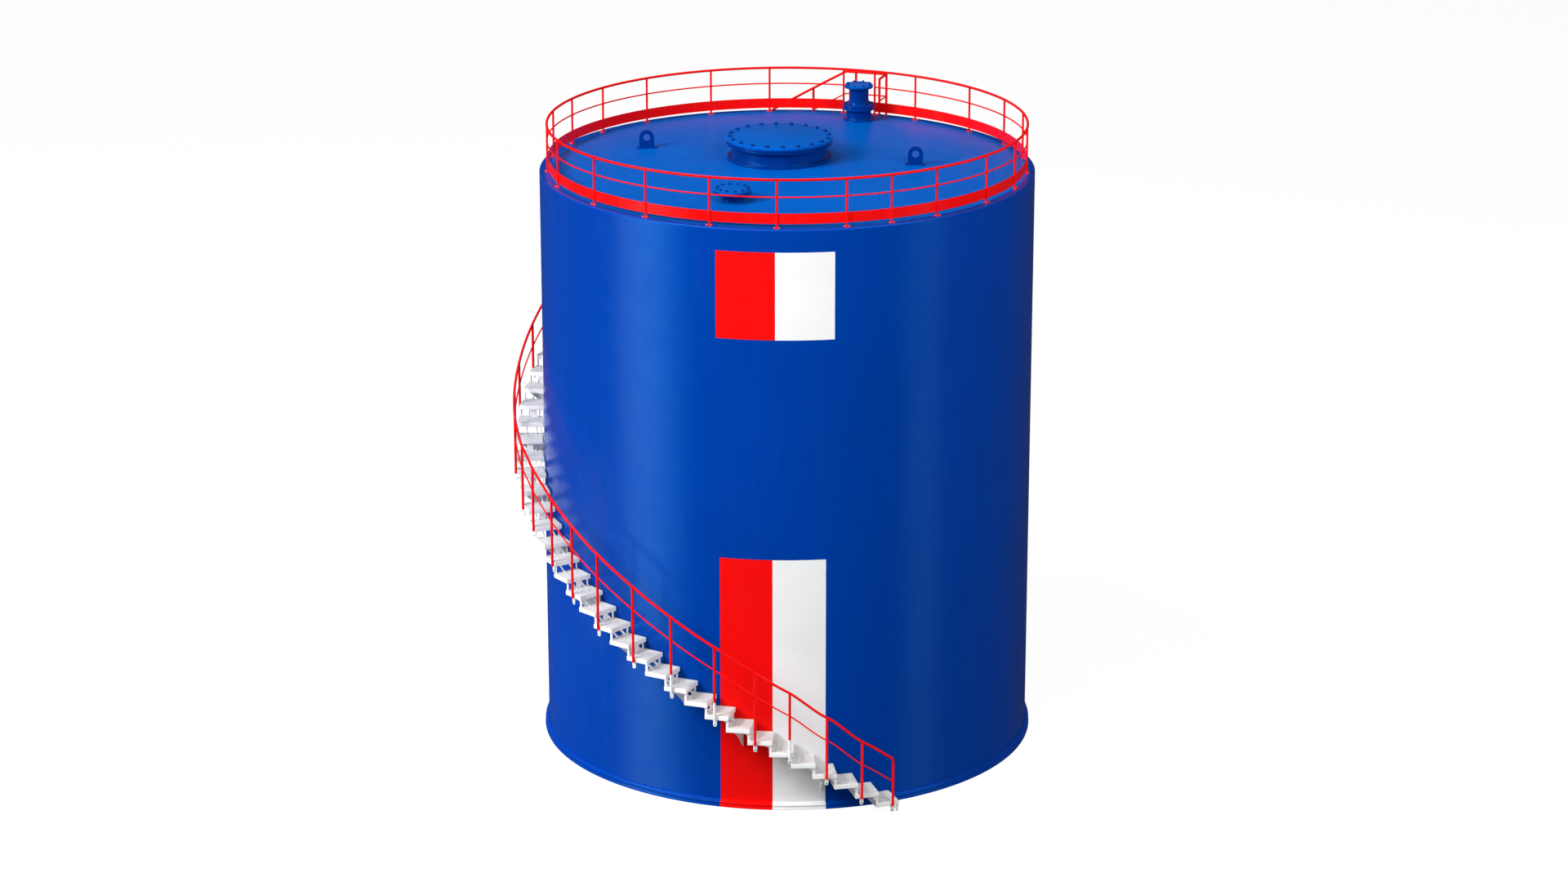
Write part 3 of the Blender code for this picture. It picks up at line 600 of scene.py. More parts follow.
def tread_enamel():
    """Satin white enamel on punched and folded sheet: scuffed grey where feet land, and greyer on what lies
    level, with dust and painted shade that hold the tops down under the light from above. The scuffs follow
    the UV map, which holds each tread's own metres across and along."""
    name = "satin_white_enamel_on_punched_sheet"
    if name in bpy.data.materials:
        return bpy.data.materials[name]
    material = sprayed_enamel(name, paint("white"), roughness=0.45, grime=0.12)
    tree = material.node_tree
    shader = tree.nodes["Principled BSDF"]
    below = shader.inputs["Base Color"].links[0].from_socket
    across = node(tree, "UVMap", uv_map="tread")
    middle = node(tree, "VectorMath", {0: across, 1: (0.0, -TREAD_WIDTH / 2, 0.0)}, operation="DISTANCE")
    trodden = node(tree, "MapRange", {0: middle, 1: 0.30, 2: 0.08})
    scuffs = noise(tree, across, 70, 0.45, 0.75, 4.0)
    share = node(tree, "Math", {0: scuffs, 1: trodden}, operation="MULTIPLY")
    worn = node(tree, "Math", {0: share, 1: 0.35}, operation="MULTIPLY")
    # Level tops turn greyer: dust, and painted shade that keeps them from washing out under the top light
    facing = node(tree, "SeparateXYZ", {0: node(tree, "NewGeometry").outputs["Normal"]}).outputs[2]
    level = node(tree, "MapRange", {0: facing, 1: 0.6, 2: 0.95, 3: 0.0, 4: 0.55})
    wear_dust_and_shade = node(tree, "Math", {0: worn, 1: level}, operation="ADD")
    dusty_shaded_white = node(tree, "Mix", {0: wear_dust_and_shade, 6: below, 7: paint("dust")}, data_type="RGBA")
    feed(shader, {"Base Color": dusty_shaded_white})
    return material


def zinc_plate():
    """Zinc plated steel bolts: pale grey metal, clouded in patches of a few millimetres."""
    name = "zinc_plated_steel"
    if name in bpy.data.materials:
        return bpy.data.materials[name]
    material, tree, shader = new_material(name)
    zinc = paint("zinc")
    cloud = noise(tree, node(tree, "TexCoord").outputs["Object"], 9, 0.35, 0.65)
    dull = tuple(0.72 * c for c in zinc[:3]) + (1.0,)
    feed(shader, {"Base Color": node(tree, "Mix", {0: cloud, 6: zinc, 7: dull}, data_type="RGBA"),
                  "Roughness": node(tree, "MapRange", {0: cloud, 3: 0.35, 4: 0.55}), "Metallic": 0.9})
    return material


class TANK_OT_shell(bpy.types.Operator):
    """Build the rolled shell wall with its painted bands"""
    bl_idname = "tank.shell"
    bl_label = "Shell Wall"

    def execute(self, context):
        low, high = BOTTOM_TOP + GAP, EAVES_Z - RIM_DEPTH - GAP
        profile = ring_section(SHELL_RADIUS - SHELL_PLATE, SHELL_RADIUS, low, high)
        wall = turned_mesh(profile, context.scene.tank_sizes.round_steps)
        finish_piece(wall, "shell_wall", shell_enamel(), cad_family("shell_segment"))
        return {"FINISHED"}


class TANK_OT_base(bpy.types.Operator):
    """Build the bottom plate and the chime round the foot of the shell"""
    bl_idname = "tank.base"
    bl_label = "Bottom Plate and Chime"

    def execute(self, context):
        steps = context.scene.tank_sizes.round_steps
        plate = turned_mesh(ring_section(0, BOTTOM_RADIUS, 0, BOTTOM_TOP), steps, 0.003)
        finish_piece(plate, "bottom_plate_turned", shell_enamel(), ["bottom_plate"])
        inner, low = SHELL_RADIUS + CLEARANCE, BOTTOM_TOP + GAP
        profile = (
            (inner, low), (5.297, low), (5.297, 0.028), (5.289, 0.036), (5.289, 0.084), (5.296, 0.092),
            (5.296, 0.104), (5.262, 0.110), (5.256, 0.124), (5.256, 0.138), (5.228, 0.149), (inner, 0.150),
        )
        chime = turned_mesh(profile, steps, 0.003)
        finish_piece(chime, "chime_band", shell_enamel(), ["chime_ring"], crisp=45)
        return {"FINISHED"}


class TANK_OT_roof(bpy.types.Operator):
    """Build the low cone of the roof and the rounded curb at its edge"""
    bl_idname = "tank.roof"
    bl_label = "Roof Plate and Curb"

    def execute(self, context):
        steps = context.scene.tank_sizes.round_steps
        apex = EAVES_Z + ROOF_RISE
        eaves = apex - ROOF_RISE * ROOF_EDGE / RIM_INNER
        profile = ((0, apex), (ROOF_EDGE, eaves), (ROOF_EDGE, eaves - 0.008), (0, apex - 0.008))
        finish_piece(turned_mesh(profile, steps), "roof_cone", roof_enamel(), ["roof_plate"])
        low, bend = EAVES_Z - RIM_DEPTH, 0.030
        arc = [(SHELL_RADIUS - bend * (1 - cos(radians(a))), EAVES_Z - bend * (1 - sin(radians(a))))
               for a in range(0, 91, 15)]
        curb = turned_mesh(((RIM_INNER, low), (SHELL_RADIUS, low), *arc, (RIM_INNER, EAVES_Z)), steps)
        finish_piece(curb, "roof_curb", shell_enamel(), ["roof_rim"])
        return {"FINISHED"}


def turn_fitting(name, replaced, profile, centre, steps, rounding=0.003, segments=2, material=None):
    """Turn one part of a roof fitting about the fitting's own upright axis."""
    turning = turned_mesh(profile, steps, rounding, segments)
    at = Matrix.Translation((*centre, 0))
    finish_parts([(turning, at)], name, material or flange_enamel(), [replaced], crisp=40)


def turn_lid(name, replaced, radius, centre, steps, rounding):
    """Turn the flat lid of a fitting between the heights of its CAD node, and give its top."""
    low, top = cad_round(replaced)[3:]
    turn_fitting(name, replaced, ring_section(0, radius, low, top), centre, steps, rounding, 3, lid_enamel())
    return top


def set_bolts(name, centre, rings):
    """Painted bolts round a fitting; a ring is its bolt, circle radius, seat height, count, first angle and
    whether the bolts hang head down."""
    parts = []
    for bolt, radius, height, count, first, hung in rings:
        flip = Matrix.Rotation(pi, 4, "X") if hung else Matrix()
        for index in range(count):
            turn = Matrix.Rotation(2 * pi * index / count + radians(first), 4, "Z")
            seat = Matrix.Translation((*centre, height)) @ turn @ Matrix.Translation((radius, 0, 0))
            parts.append((bolt, seat @ flip))
    finish_parts(parts, name, flange_enamel())


class TANK_OT_manhole(bpy.types.Operator):
    """Build the manhole: pad, neck, flange pair, cover and bolts"""
    bl_idname = "tank.manhole"
    bl_label = "Manhole"

    def execute(self, context):
        steps = context.scene.tank_sizes.fitting_steps
        x, y, pad_radius, low, pad_top = cad_round("manhole_pad")
        flange, lid_low = cad_round("manhole_cover")[2:4]
        neck, wall, collar, split = 1.012, 0.012, 12.890, lid_low - 0.001
        pad = ring_section(neck + CLEARANCE, pad_radius, low, pad_top)
        turn_fitting("manhole_pad_ring", "manhole_pad", pad, (x, y), steps, 0.006, 3)
        body = (
            (neck - wall, low), (neck, low), (neck, pad_top), (neck + 0.012, pad_top + 0.001),
            (neck, pad_top + 0.013), (neck, collar - 0.012), (neck + 0.012, collar),
            (flange - 0.008, collar), (flange - 0.008, collar + 0.032), (flange - 0.020, collar + 0.038),
            (flange - 0.020, collar + 0.046), (flange, collar + 0.052), (flange, split), (neck - wall, split),
        )
        turn_fitting("manhole_body", "manhole_neck", body, (x, y), steps)
        lid_top = turn_lid("manhole_lid", "manhole_cover", flange - 0.002, (x, y), steps, 0.010)
        set_bolts("manhole_bolts", (x, y), ((dome_bolt(0.040), 1.050, lid_top - 0.001, 20, 4.0, False),
                                            (hex_bolt(0.026), 1.062, collar + 0.0005, 20, 4.0, True)))
        return {"FINISHED"}


class TANK_OT_hatch(bpy.types.Operator):
    """Build the small hatch: neck, flange, cover and bolts"""
    bl_idname = "tank.hatch"
    bl_label = "Hatch"

    def execute(self, context):
        steps = context.scene.tank_sizes.fitting_steps // 2
        x, y, flange, low, split = cad_round("hatch_neck")
        neck, wall, seat, collar = 0.215, 0.012, roof_z(x, y), 12.645
        body = (
            (neck - wall, low), (neck, low), (neck, seat + 0.004), (neck + 0.020, seat + 0.008),
            (neck, seat + 0.026), (neck, collar), (flange, collar), (flange, split), (neck - wall, split),
        )
        turn_fitting("hatch_body", "hatch_neck", body, (x, y), steps)
        lid_top = turn_lid("hatch_lid", "hatch_cover", flange - 0.006, (x, y), steps, 0.007)
        set_bolts("hatch_bolts", (x, y), ((dome_bolt(0.030), 0.325, lid_top - 0.001, 12, 10.0, False),
                                          (hex_bolt(0.020), 0.330, collar + 0.0005, 12, 10.0, True)))
        return {"FINISHED"}


class TANK_OT_nozzle(bpy.types.Operator):
    """Build the blanked nozzle: stub, flanged spool, blind flange and bolts"""
    bl_idname = "tank.nozzle"
    bl_label = "Blanked Nozzle"

    def execute(self, context):
        steps = context.scene.tank_sizes.fitting_steps // 2
        x, y, middle, low, mid_split = cad_round("nozzle_stub")
        spool_low, top_split = cad_round("nozzle_spool")[3:]
        flange = cad_round("nozzle_blind")[2]
        seat, low_collar, mid_collar, top_collar = roof_z(x, y) + 0.040, 12.700, 12.810, 13.180
        bore, narrow_bore, neck, barrel = 0.262, 0.202, 0.274, 0.214
        foot = (
            (bore, low), (0.338, low), (0.338, seat), (neck + 0.014, seat + 0.002), (neck, seat + 0.016),
            (neck, low_collar - 0.010), (neck + 0.010, low_collar), (middle, low_collar), (middle, mid_split),
            (bore, mid_split),
        )
        turn_fitting("nozzle_foot", "nozzle_stub", foot, (x, y), steps)
        body = (
            (narrow_bore, spool_low), (middle, spool_low), (middle, mid_collar), (0.236, mid_collar + 0.002),
            (0.216, mid_collar + 0.040), (barrel, mid_collar + 0.060), (barrel, top_collar - 0.016),
            (0.226, top_collar), (flange, top_collar), (flange, top_split), (narrow_bore, top_split),
        )
        turn_fitting("nozzle_body", "nozzle_spool", body, (x, y), steps)
        lid_top = turn_lid("nozzle_lid", "nozzle_blind", flange - 0.003, (x, y), steps, 0.006)
        set_bolts("nozzle_bolts", (x, y), ((dome_bolt(0.027), 0.258, lid_top - 0.001, 8, 22.5, False),
                                           (hex_bolt(0.020), 0.256, top_collar + 0.0005, 8, 22.5, True),
                                           (dome_bolt(0.022), 0.306, mid_collar - 0.0005, 12, 15.0, False),
                                           (hex_bolt(0.022), 0.312, low_collar + 0.0005, 12, 15.0, True)))
        return {"FINISHED"}


def lug_plate():
    """Arched plate with an eye, standing on a bevelled foot with a bead along its base."""
    half, thick, foot_z, eye_z, eye = 0.160, 0.050, 0.022, 0.227, 0.077
    bm = bmesh.new()
    upright = Matrix.Rotation(pi / 2, 4, "X")
    lift = Matrix.Translation((0, thick / 2, eye_z))
    outer = bmesh.ops.create_circle(bm, segments=32, radius=half, matrix=lift @ upright)["verts"]
    bmesh.ops.create_circle(bm, segments=32, radius=eye, matrix=lift @ upright)
    bmesh.ops.bridge_loops(bm, edges=bm.edges[:])
    # The lower half of the outer ring becomes the straight sides and the base
    for vert in outer:
        if vert.co.z < eye_z - 1e-4:
            vert.co.z = foot_z / 2
            vert.co.x = max(-half, min(half, vert.co.x * 1.414))
    grown = bmesh.ops.extrude_face_region(bm, geom=bm.faces[:], use_keep_orig=True)
    bmesh.ops.translate(bm, verts=of_kind(grown, BMVert), vec=(0, -thick, 0))
    rims = [edge for edge in bm.edges if edge.is_manifold and edge.calc_face_angle() > radians(60)]
    round_off(bm, rims, 0.006, 2)
    foot = block_mesh((-0.212, -0.080, 0.0), (0.212, 0.080, foot_z), 0.005, 2)
    bead = block_mesh((-0.166, -0.033, foot_z - 0.004), (0.166, 0.033, foot_z + 0.008), 0.006, 2)
    return to_mesh(bm), foot, bead


class TANK_OT_lugs(bpy.types.Operator):
    """Build the two lifting lugs on the roof"""
    bl_idname = "tank.lugs"
    bl_label = "Lifting Lugs"

    def execute(self, context):
        for side in ("left", "right"):
            low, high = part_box(f"lifting_lug_{side}")
            x, y = (low.x + high.x) / 2, (low.y + high.y) / 2
            slope = ROOF_RISE / RIM_INNER
            away = Vector((x, y, 0)).normalized()
            normal = (Vector((0, 0, 1)) + away * slope).normalized()
            right = (Vector((1, 0, 0)) - normal * normal.x).normalized()
            turn = Matrix((right, normal.cross(right), normal)).transposed().to_4x4()
            seat = Matrix.Translation(Vector((x, y, roof_z(x, y))) + normal * CLEARANCE) @ turn
            finish_parts([(part, seat) for part in lug_plate()], f"lug_{side}", flange_enamel(),
                         [f"lifting_lug_{side}"])
        return {"FINISHED"}


def guard_limits(index):
    """A section of guard rail runs from mid-bay to mid-bay."""
    posts = GUARD_POSTS[index]
    before = GUARD_POSTS[index - 1][-1] - (360 if index == 0 else 0)
    after = GUARD_POSTS[(index + 1) % len(GUARD_POSTS)][0] + (360 if index + 1 == len(GUARD_POSTS) else 0)
    return (before + posts[0]) / 2 + SECTION_GAP, (posts[-1] + after) / 2 - SECTION_GAP


class TANK_OT_guard_rail(bpy.types.Operator):
    """Build the guard rail round the roof: tubes, posts, toe boards, foot plates and bolts"""
    bl_idname = "tank.guard_rail"
    bl_label = "Guard Rail"

    def execute(self, context):
        sizes = context.scene.tank_sizes
        foot = block_mesh((-0.065, -0.030, 0.0), (0.065, 0.060, 0.012))
        bolt = hex_bolt(0.011)
        bolts = []
        toe_board = ring_section(TOE_RADIUS, TOE_RADIUS + TOE_PLATE, TOE_BOTTOM_Z, TOE_TOP_Z)
        for number, posts in enumerate(GUARD_POSTS, 1):
            start, end = guard_limits(number - 1)
            spans = [(start, end)]
            if GATE_POSTS[0] in posts:
                spans = [(start, GATE_POSTS[0]), (GATE_POSTS[1], end)]
            bm = bmesh.new()
            add_hoop(bm, start, end, GUARD_RADIUS, GUARD_TOP_Z, sizes.rail_tube, sizes.tube_sides)
            for first, last in spans:
                add_hoop(bm, first, last, GUARD_RADIUS, GUARD_MID_Z, sizes.mid_tube, MID_SIDES)
                add_strip(bm, first, last, toe_board)
            for bearing in posts:
                post = [spot(bearing, GUARD_RADIUS, height) for height in (EAVES_Z + 0.004, GUARD_TOP_Z)]
                add_tube(bm, post, sizes.post_tube, sizes.tube_sides)
                seat = place(bearing, GUARD_RADIUS, EAVES_Z + GAP)
                stamp(bm, foot, seat)
                bolts += [(bolt, seat @ Matrix.Translation((side * 0.047, 0.030, 0.012))) for side in (-1, 1)]
            finish_piece(to_mesh(bm), f"guard_frame_{number}", rail_enamel(), [f"guard_rail_{number}"],
                         "red_paint")
        finish_parts(bolts, "guard_foot_bolts", zinc_plate(), slot="red_paint")
        return {"FINISHED"}


def hole_cell(sizes):
    """One rectangle of tread sheet with a hole in a raised lip."""
    bm = bmesh.new()
    wide = Matrix.Diagonal((sizes.hole_row_pitch, sizes.hole_pitch, 1, 1))
    quarter, eighth = Matrix.Rotation(pi / 4, 4, "Z"), Matrix.Rotation(pi / 8, 4, "Z")
    bmesh.ops.create_circle(bm, segments=4, radius=sqrt(0.5), matrix=wide @ quarter)
    made = bmesh.ops.create_circle(bm, segments=8, radius=sizes.hole_radius + HOLE_LIP, matrix=eighth)
    rim = edges_at(made["verts"])
    bmesh.ops.bridge_loops(bm, edges=bm.edges[:])
    grown = bmesh.ops.extrude_edge_only(bm, edges=rim)
    share = sizes.hole_radius / (sizes.hole_radius + HOLE_LIP)
    lip = Matrix.Translation((0, 0, 0.0025)) @ Matrix.Diagonal((share, share, 1, 1))
    bmesh.ops.transform(bm, matrix=lip, verts=of_kind(grown, BMVert))
    return to_mesh(bm)


def fold_down(bm, edges, before, after, drop):
    """Carry a rectangular edge of the sheet out from one half size to the next, and down."""
    grown = bmesh.ops.extrude_edge_only(bm, edges=edges)
    spread = Matrix.Diagonal((after[0] / before[0], after[1] / before[1], 1, 1))
    bmesh.ops.transform(bm, matrix=Matrix.Translation((0, 0, -drop)) @ spread, verts=of_kind(grown, BMVert))
    return of_kind(grown, BMEdge)


def pan_mesh(sizes, going, width, skirt, cut=0.0):
    """Punched sheet folded down on all four sides; X across the going, Y from -width to 0, top at z = 0.
    Its lower inner corner is cut back by a length, to lie along the tread before it."""
    going -= cut
    across = floor((going - PLAIN_EDGES) / sizes.hole_row_pitch)
    along = floor((width - PLAIN_EDGES) / sizes.hole_pitch)
    cell = hole_cell(sizes)
    row = bmesh.new()
    for index in range(along):
        stamp(row, cell, Matrix.Translation((0, (index - (along - 1) / 2) * sizes.hole_pitch, 0)))
    line = to_mesh(row)
    bm = bmesh.new()
    for index in range(across):
        stamp(bm, line, Matrix.Translation(((index - (across - 1) / 2) * sizes.hole_row_pitch, 0, 0)))
    bmesh.ops.remove_doubles(bm, verts=bm.verts, dist=1e-5)
    half = (across * sizes.hole_row_pitch / 2, along * sizes.hole_pitch / 2)
    edges = [edge for edge in bm.edges if edge.is_boundary and any(
        all(abs(abs(vert.co[axis]) - half[axis]) < 1e-4 for vert in edge.verts) for axis in (0, 1))]
    bend = sizes.fold_radius
    size, height = half, 0.0
    for angle in (0, 30, 60, 90):
        inset = bend * (1 - sin(radians(angle)))
        level = bend * (1 - cos(radians(angle)))
        after = (going / 2 - inset, width / 2 - inset)
        edges = fold_down(bm, edges, size, after, level - height)
        size, height = after, level
    fold_down(bm, edges, size, size, skirt - bend)
    for vert in bm.verts:
        if vert.co.x < -half[0] - 1e-4:
            vert.co.x -= cut * (vert.co.y / width + 0.5)
    bmesh.ops.recalc_face_normals(bm, faces=bm.faces)
    top = max(bm.faces, key=lambda face: face.calc_center_median().z)
    if top.normal.z < 0:
        bmesh.ops.reverse_faces(bm, faces=bm.faces)
    bmesh.ops.solidify(bm, geom=bm.faces[:], thickness=sizes.tread_sheet)
    bmesh.ops.translate(bm, verts=bm.verts, vec=(cut / 2, -width / 2, 0))
    tread_map = bm.loops.layers.uv.new("tread")
    for face in bm.faces:
        for loop in face.loops:
            loop[tread_map].uv = loop.vert.co.xy
    return to_mesh(bm)


def knee_parts(bearing, under):
    """Web and tapered flange of a bracket on the shell at a bearing, with its top at a height."""
    wall, outer, drop, lean_reach = SHELL_RADIUS + CLEARANCE, 5.760, 0.480, 0.040
    run = outer - wall - lean_reach
    web = plate_mesh(((wall, under + 0.012, 0), (outer, under + 0.012, 0), (outer, under - 0.020, 0.01),
                      (wall + 0.060, under - 0.440, 0.02), (wall, under - 0.500, 0.02)), -0.007, 0.007)
    length = sqrt(run ** 2 + drop ** 2)
    flange = plate_mesh(((-0.110, 0, 0.01), (0.110, 0, 0.01), (0.040, -0.16, 0.12), (0.018, -length, 0.015),
                         (-0.018, -length, 0.015), (-0.040, -0.16, 0.12)), -0.005, 0.005)
    turn = Matrix.Rotation(radians(bearing - 90), 4, "Z")
    lean = (Matrix.Translation((outer, 0, under - 0.008)) @ Matrix.Rotation(atan(run / drop), 4, "Y")
            @ Matrix.Rotation(pi / 2, 4, "Z"))
    return [(web, turn), (flange, turn @ lean)]


def carrier_templates():
    """Struts, a middle plate and a sloping bar, as (template, radius) pairs."""
    high = RISE - TREAD_SKIRT + 0.010
    run = 5.4 * radians(STEP)
    slope = ((-0.095, 0, 0), (0, 0, 0), (run, RISE - 0.004, 0), (run - 0.095, RISE - 0.004, 0))
    bar = plate_mesh(slope, -0.006, 0.006)
    return ((block_mesh((-0.025, -0.006, 0), (0.030, 0.006, high)), 5.792),
            (block_mesh((-0.025, -0.006, 0), (0.020, 0.006, high)), 5.300), (bar, 5.400), (bar, 5.620),
            (block_mesh((-0.014, -0.070, 0), (-0.006, 0.070, high)), 5.520))


def carrier_parts(number, templates):
    """Struts and sloping bars between one tread and the next; only every other riser has the middle plate."""
    kept = templates if number % 2 else templates[:-1]
    bearing, height = STAIR_START - STEP * number, RISE * number
    return [(template, place(bearing, radius, height)) for template, radius in kept]


class TANK_OT_stair(bpy.types.Operator):
    """Build the seven flights: punched treads, struts, sloping bars, brackets, post tabs and bolts"""
    bl_idname = "tank.stair"
    bl_label = "Stair Flights"

    def execute(self, context):
        sizes = context.scene.tank_sizes
        pan = pan_mesh(sizes, TREAD_GOING, TREAD_WIDTH, TREAD_SKIRT)
        templates = carrier_templates()
        tab = plate_mesh(((-0.040, -0.078, 0), (0.040, -0.078, 0), (0.040, -0.240, 0.0395),
                          (-0.040, -0.240, 0.0395)), -0.012, 0.0, 8)
        bolt = hex_bolt(0.015)
        facing_out = Matrix.Translation((0, 0, -0.195)) @ Matrix.Rotation(-pi / 2, 4, "X")
        bolts = []
        for flight in range(1, FLIGHTS + 1):
            span = range((flight - 1) * TREADS_PER_FLIGHT, flight * TREADS_PER_FLIGHT)
            treads = [(pan, place(tread_bearing(i), TREAD_OUTER, tread_top(i))) for i in span]
            finish_parts(treads, f"flight_{flight}_treads", tread_enamel(), [f"stair_flight_{flight}"],
                         "white_paint")
            parts = []
            for index in span:
                parts += carrier_parts(index, templates)
                if index in KNEE_TREADS:
                    parts += knee_parts(tread_bearing(index), tread_top(index) - TREAD_SKIRT)
            for index, bearing in stair_post_list():
                if index in span:
                    seat = post_frame(index, bearing, tread_top(index))
                    parts.append((tab, seat))
                    bolts.append((bolt, seat @ facing_out))
            finish_parts(parts, f"flight_{flight}_carriers", bar_enamel(), slot="white_paint")
        finish_parts(bolts, "stair_tab_bolts", zinc_plate(), slot="white_paint")
        return {"FINISHED"}


def rail_path(start, end, height):
    """Points along a rail that follows the stair, about one degree apart."""
    steps = max(2, round(abs(start - end)))
    bearings = [start + (end - start) * index / steps for index in range(steps + 1)]
    return [spot(bearing, STAIR_RAIL_RADIUS, height(bearing)) for bearing in bearings]


def rounded_corner(before, corner, after):
    """Points that take a path round a corner in a short arc."""
    first = corner + (before - corner).normalized() * CORNER_REACH
    last = corner + (after - corner).normalized() * CORNER_REACH
    shares = [index / CORNER_STEPS for index in range(CORNER_STEPS + 1)]
    return [first * (1 - t) ** 2 + corner * 2 * t * (1 - t) + last * t ** 2 for t in shares]


class TANK_OT_stair_rail(bpy.types.Operator):
    """Build the stair rail flight by flight, with white sleeves on some of its lower posts"""
    bl_idname = "tank.stair_rail"
    bl_label = "Stair Rail"

    def execute(self, context):
        sizes = context.scene.tank_sizes
        posts = stair_post_list()
        span = STEP * TREADS_PER_FLIGHT
        sleeves = bmesh.new()
        for flight in range(1, FLIGHTS + 1):
            start = STAIR_START - span * (flight - 1) - SECTION_GAP
            end = start - span + 2 * SECTION_GAP
            inside = [(order, *post) for order, post in enumerate(posts) if end < post[1] < start]
            top = rail_path(start, end, handrail_z)
            if flight == 1:
                # The first post and the handrail are one bent tube
                _, index, start = inside.pop(0)
                foot = post_point(index, start, tread_top(index) - TREAD_SKIRT)
                corner = post_point(index, start, handrail_z(start))
                rest = rail_path(start - 1.0, end, handrail_z)
                top = [foot, *rounded_corner(foot, corner, rest[0]), *rest]
            bm = bmesh.new()
            add_tube(bm, top, sizes.rail_tube, sizes.tube_sides)
            add_tube(bm, rail_path(start, end, mid_rail_z), sizes.mid_tube, MID_SIDES)
            for order, index, bearing in inside:
                low = post_point(index, bearing, tread_top(index) - TREAD_SKIRT)
                high = post_point(index, bearing, handrail_z(bearing))
                add_tube(bm, [low, high], sizes.rail_tube, sizes.tube_sides)
                if order in SLEEVED_POSTS:
                    shoulder = post_point(index, bearing, tread_top(index) + SLEEVE_HEIGHT)
                    sleeve = [low - Vector((0, 0, 0.002)), shoulder]
                    add_tube(sleeves, sleeve, sizes.rail_tube + 0.0002, sizes.tube_sides)
            finish_piece(to_mesh(bm), f"stair_rail_tubes_{flight}", rail_enamel(), [f"stair_rail_{flight}"],
                         "red_paint")
        finish_piece(to_mesh(sleeves), "stair_post_sleeves", bar_enamel(), slot="white_paint")
        return {"FINISHED"}


class TANK_OT_landing(bpy.types.Operator):
    """Build the top landing and its rail"""
    bl_idname = "tank.landing"
    bl_label = "Top Landing"

    def execute(self, context):
        sizes = context.scene.tank_sizes
        seat = place((LANDING_START + LANDING_END) / 2, TREAD_OUTER, LANDING_Z)
        half = radians(LANDING_START - LANDING_END) / 2
        turn = half + radians(tread_bearing(TREADS - 1) - LANDING_START)
        pan = pan_mesh(sizes, 2 * TREAD_OUTER * tan(half), TREAD_WIDTH, TREAD_SKIRT, TREAD_WIDTH * tan(turn))
        finish_parts([(pan, seat)], "landing_deck", tread_enamel(), ["top_landing"], "white_paint")
        brackets = [LANDING_START + (LANDING_END - LANDING_START) * share for share in (0.2, 0.8)]
        parts = [part for bearing in brackets for part in knee_parts(bearing, LANDING_Z - TREAD_SKIRT)]
        finish_parts(parts, "landing_brackets", bar_enamel(), slot="white_paint")
        bm = bmesh.new()
        start = STAIR_START - STEP * TREADS - SECTION_GAP
        half = radians(LANDING_POSTS[0] - LANDING_POSTS[1]) / 2 * TREAD_OUTER
        inner = -TREAD_WIDTH + 0.09
        mid = LANDING_RAIL_Z - MID_RAIL_DROP
        for height, tube in ((LANDING_RAIL_Z, sizes.rail_tube), (mid, sizes.mid_tube)):
            corner, leg = (seat @ Vector((half, y, height - LANDING_Z)) for y in (POST_OFFSET, inner))
            rest = rail_path(start, LANDING_POSTS[1] + 1.2, lambda _: height)
            add_tube(bm, [*rest, *rounded_corner(rest[-1], corner, leg), leg], tube, sizes.tube_sides)
        posts = ((-half, POST_OFFSET, -TREAD_SKIRT), (half, POST_OFFSET, -TREAD_SKIRT), (half, inner, GAP))
        for post in posts:
            foot = seat @ Vector(post)
            add_tube(bm, [foot, Vector((foot.x, foot.y, LANDING_RAIL_Z))], sizes.rail_tube, sizes.tube_sides)
        finish_piece(to_mesh(bm), "landing_tubes", rail_enamel(), ["landing_rail"], "red_paint")
        return {"FINISHED"}


def strip_light(tree, turn, bearing, half_width, level):
    """Brightness of an upright strip in the world, seen in gloss round one bearing."""
    off = node(tree, "Math", {0: turn, 1: radians(-bearing)}, operation="ADD")
    away = node(tree, "Math", {0: off}, operation="ABSOLUTE")
    return node(tree, "MapRange", {0: away, 1: radians(half_width), 2: 0.0, 3: 0.0, 4: level},
                interpolation_type="SMOOTHERSTEP")


def studio_world(context):
    """White to the camera, an even grey to matt faces, and to glossy ones a dim room with two tall soft
    strips that fade toward the floor and a wide soft panel overhead."""
    world = bpy.data.worlds.new("studio")
    world.use_nodes = True
    context.scene.world = world
    tree = world.node_tree
    ray = node(tree, "LightPath").outputs
    parts = node(tree, "SeparateXYZ", {0: node(tree, "TexCoord").outputs["Generated"]}).outputs
    turn = bearing_of(tree, parts)
    left, right = strip_light(tree, turn, -66, 26, 7.0), strip_light(tree, turn, 65, 16, 2.0)
    strips = node(tree, "Math", {0: left, 1: right}, operation="ADD")
    overhead = node(tree, "MapRange", {0: parts[2], 1: 0.72, 2: 0.94, 3: 0.04, 4: 3.2},
                    interpolation_type="SMOOTHERSTEP")
    fade = node(tree, "MapRange", {0: parts[2], 1: -0.50, 2: -0.15, 3: 0.15, 4: 1.45})
    faded = node(tree, "Math", {0: strips, 1: fade}, operation="MULTIPLY")
    room = node(tree, "Math", {0: faded, 1: overhead}, operation="ADD")
    glossy = node(tree, "Mix", {0: ray["Is Glossy Ray"], 2: 0.25, 3: room}, data_type="FLOAT")
    seen = node(tree, "Mix", {0: ray["Is Camera Ray"], 2: glossy, 3: 1.0}, data_type="FLOAT")
    feed(tree.nodes["Background"], {"Color": (1, 1, 1, 1), "Strength": seen})


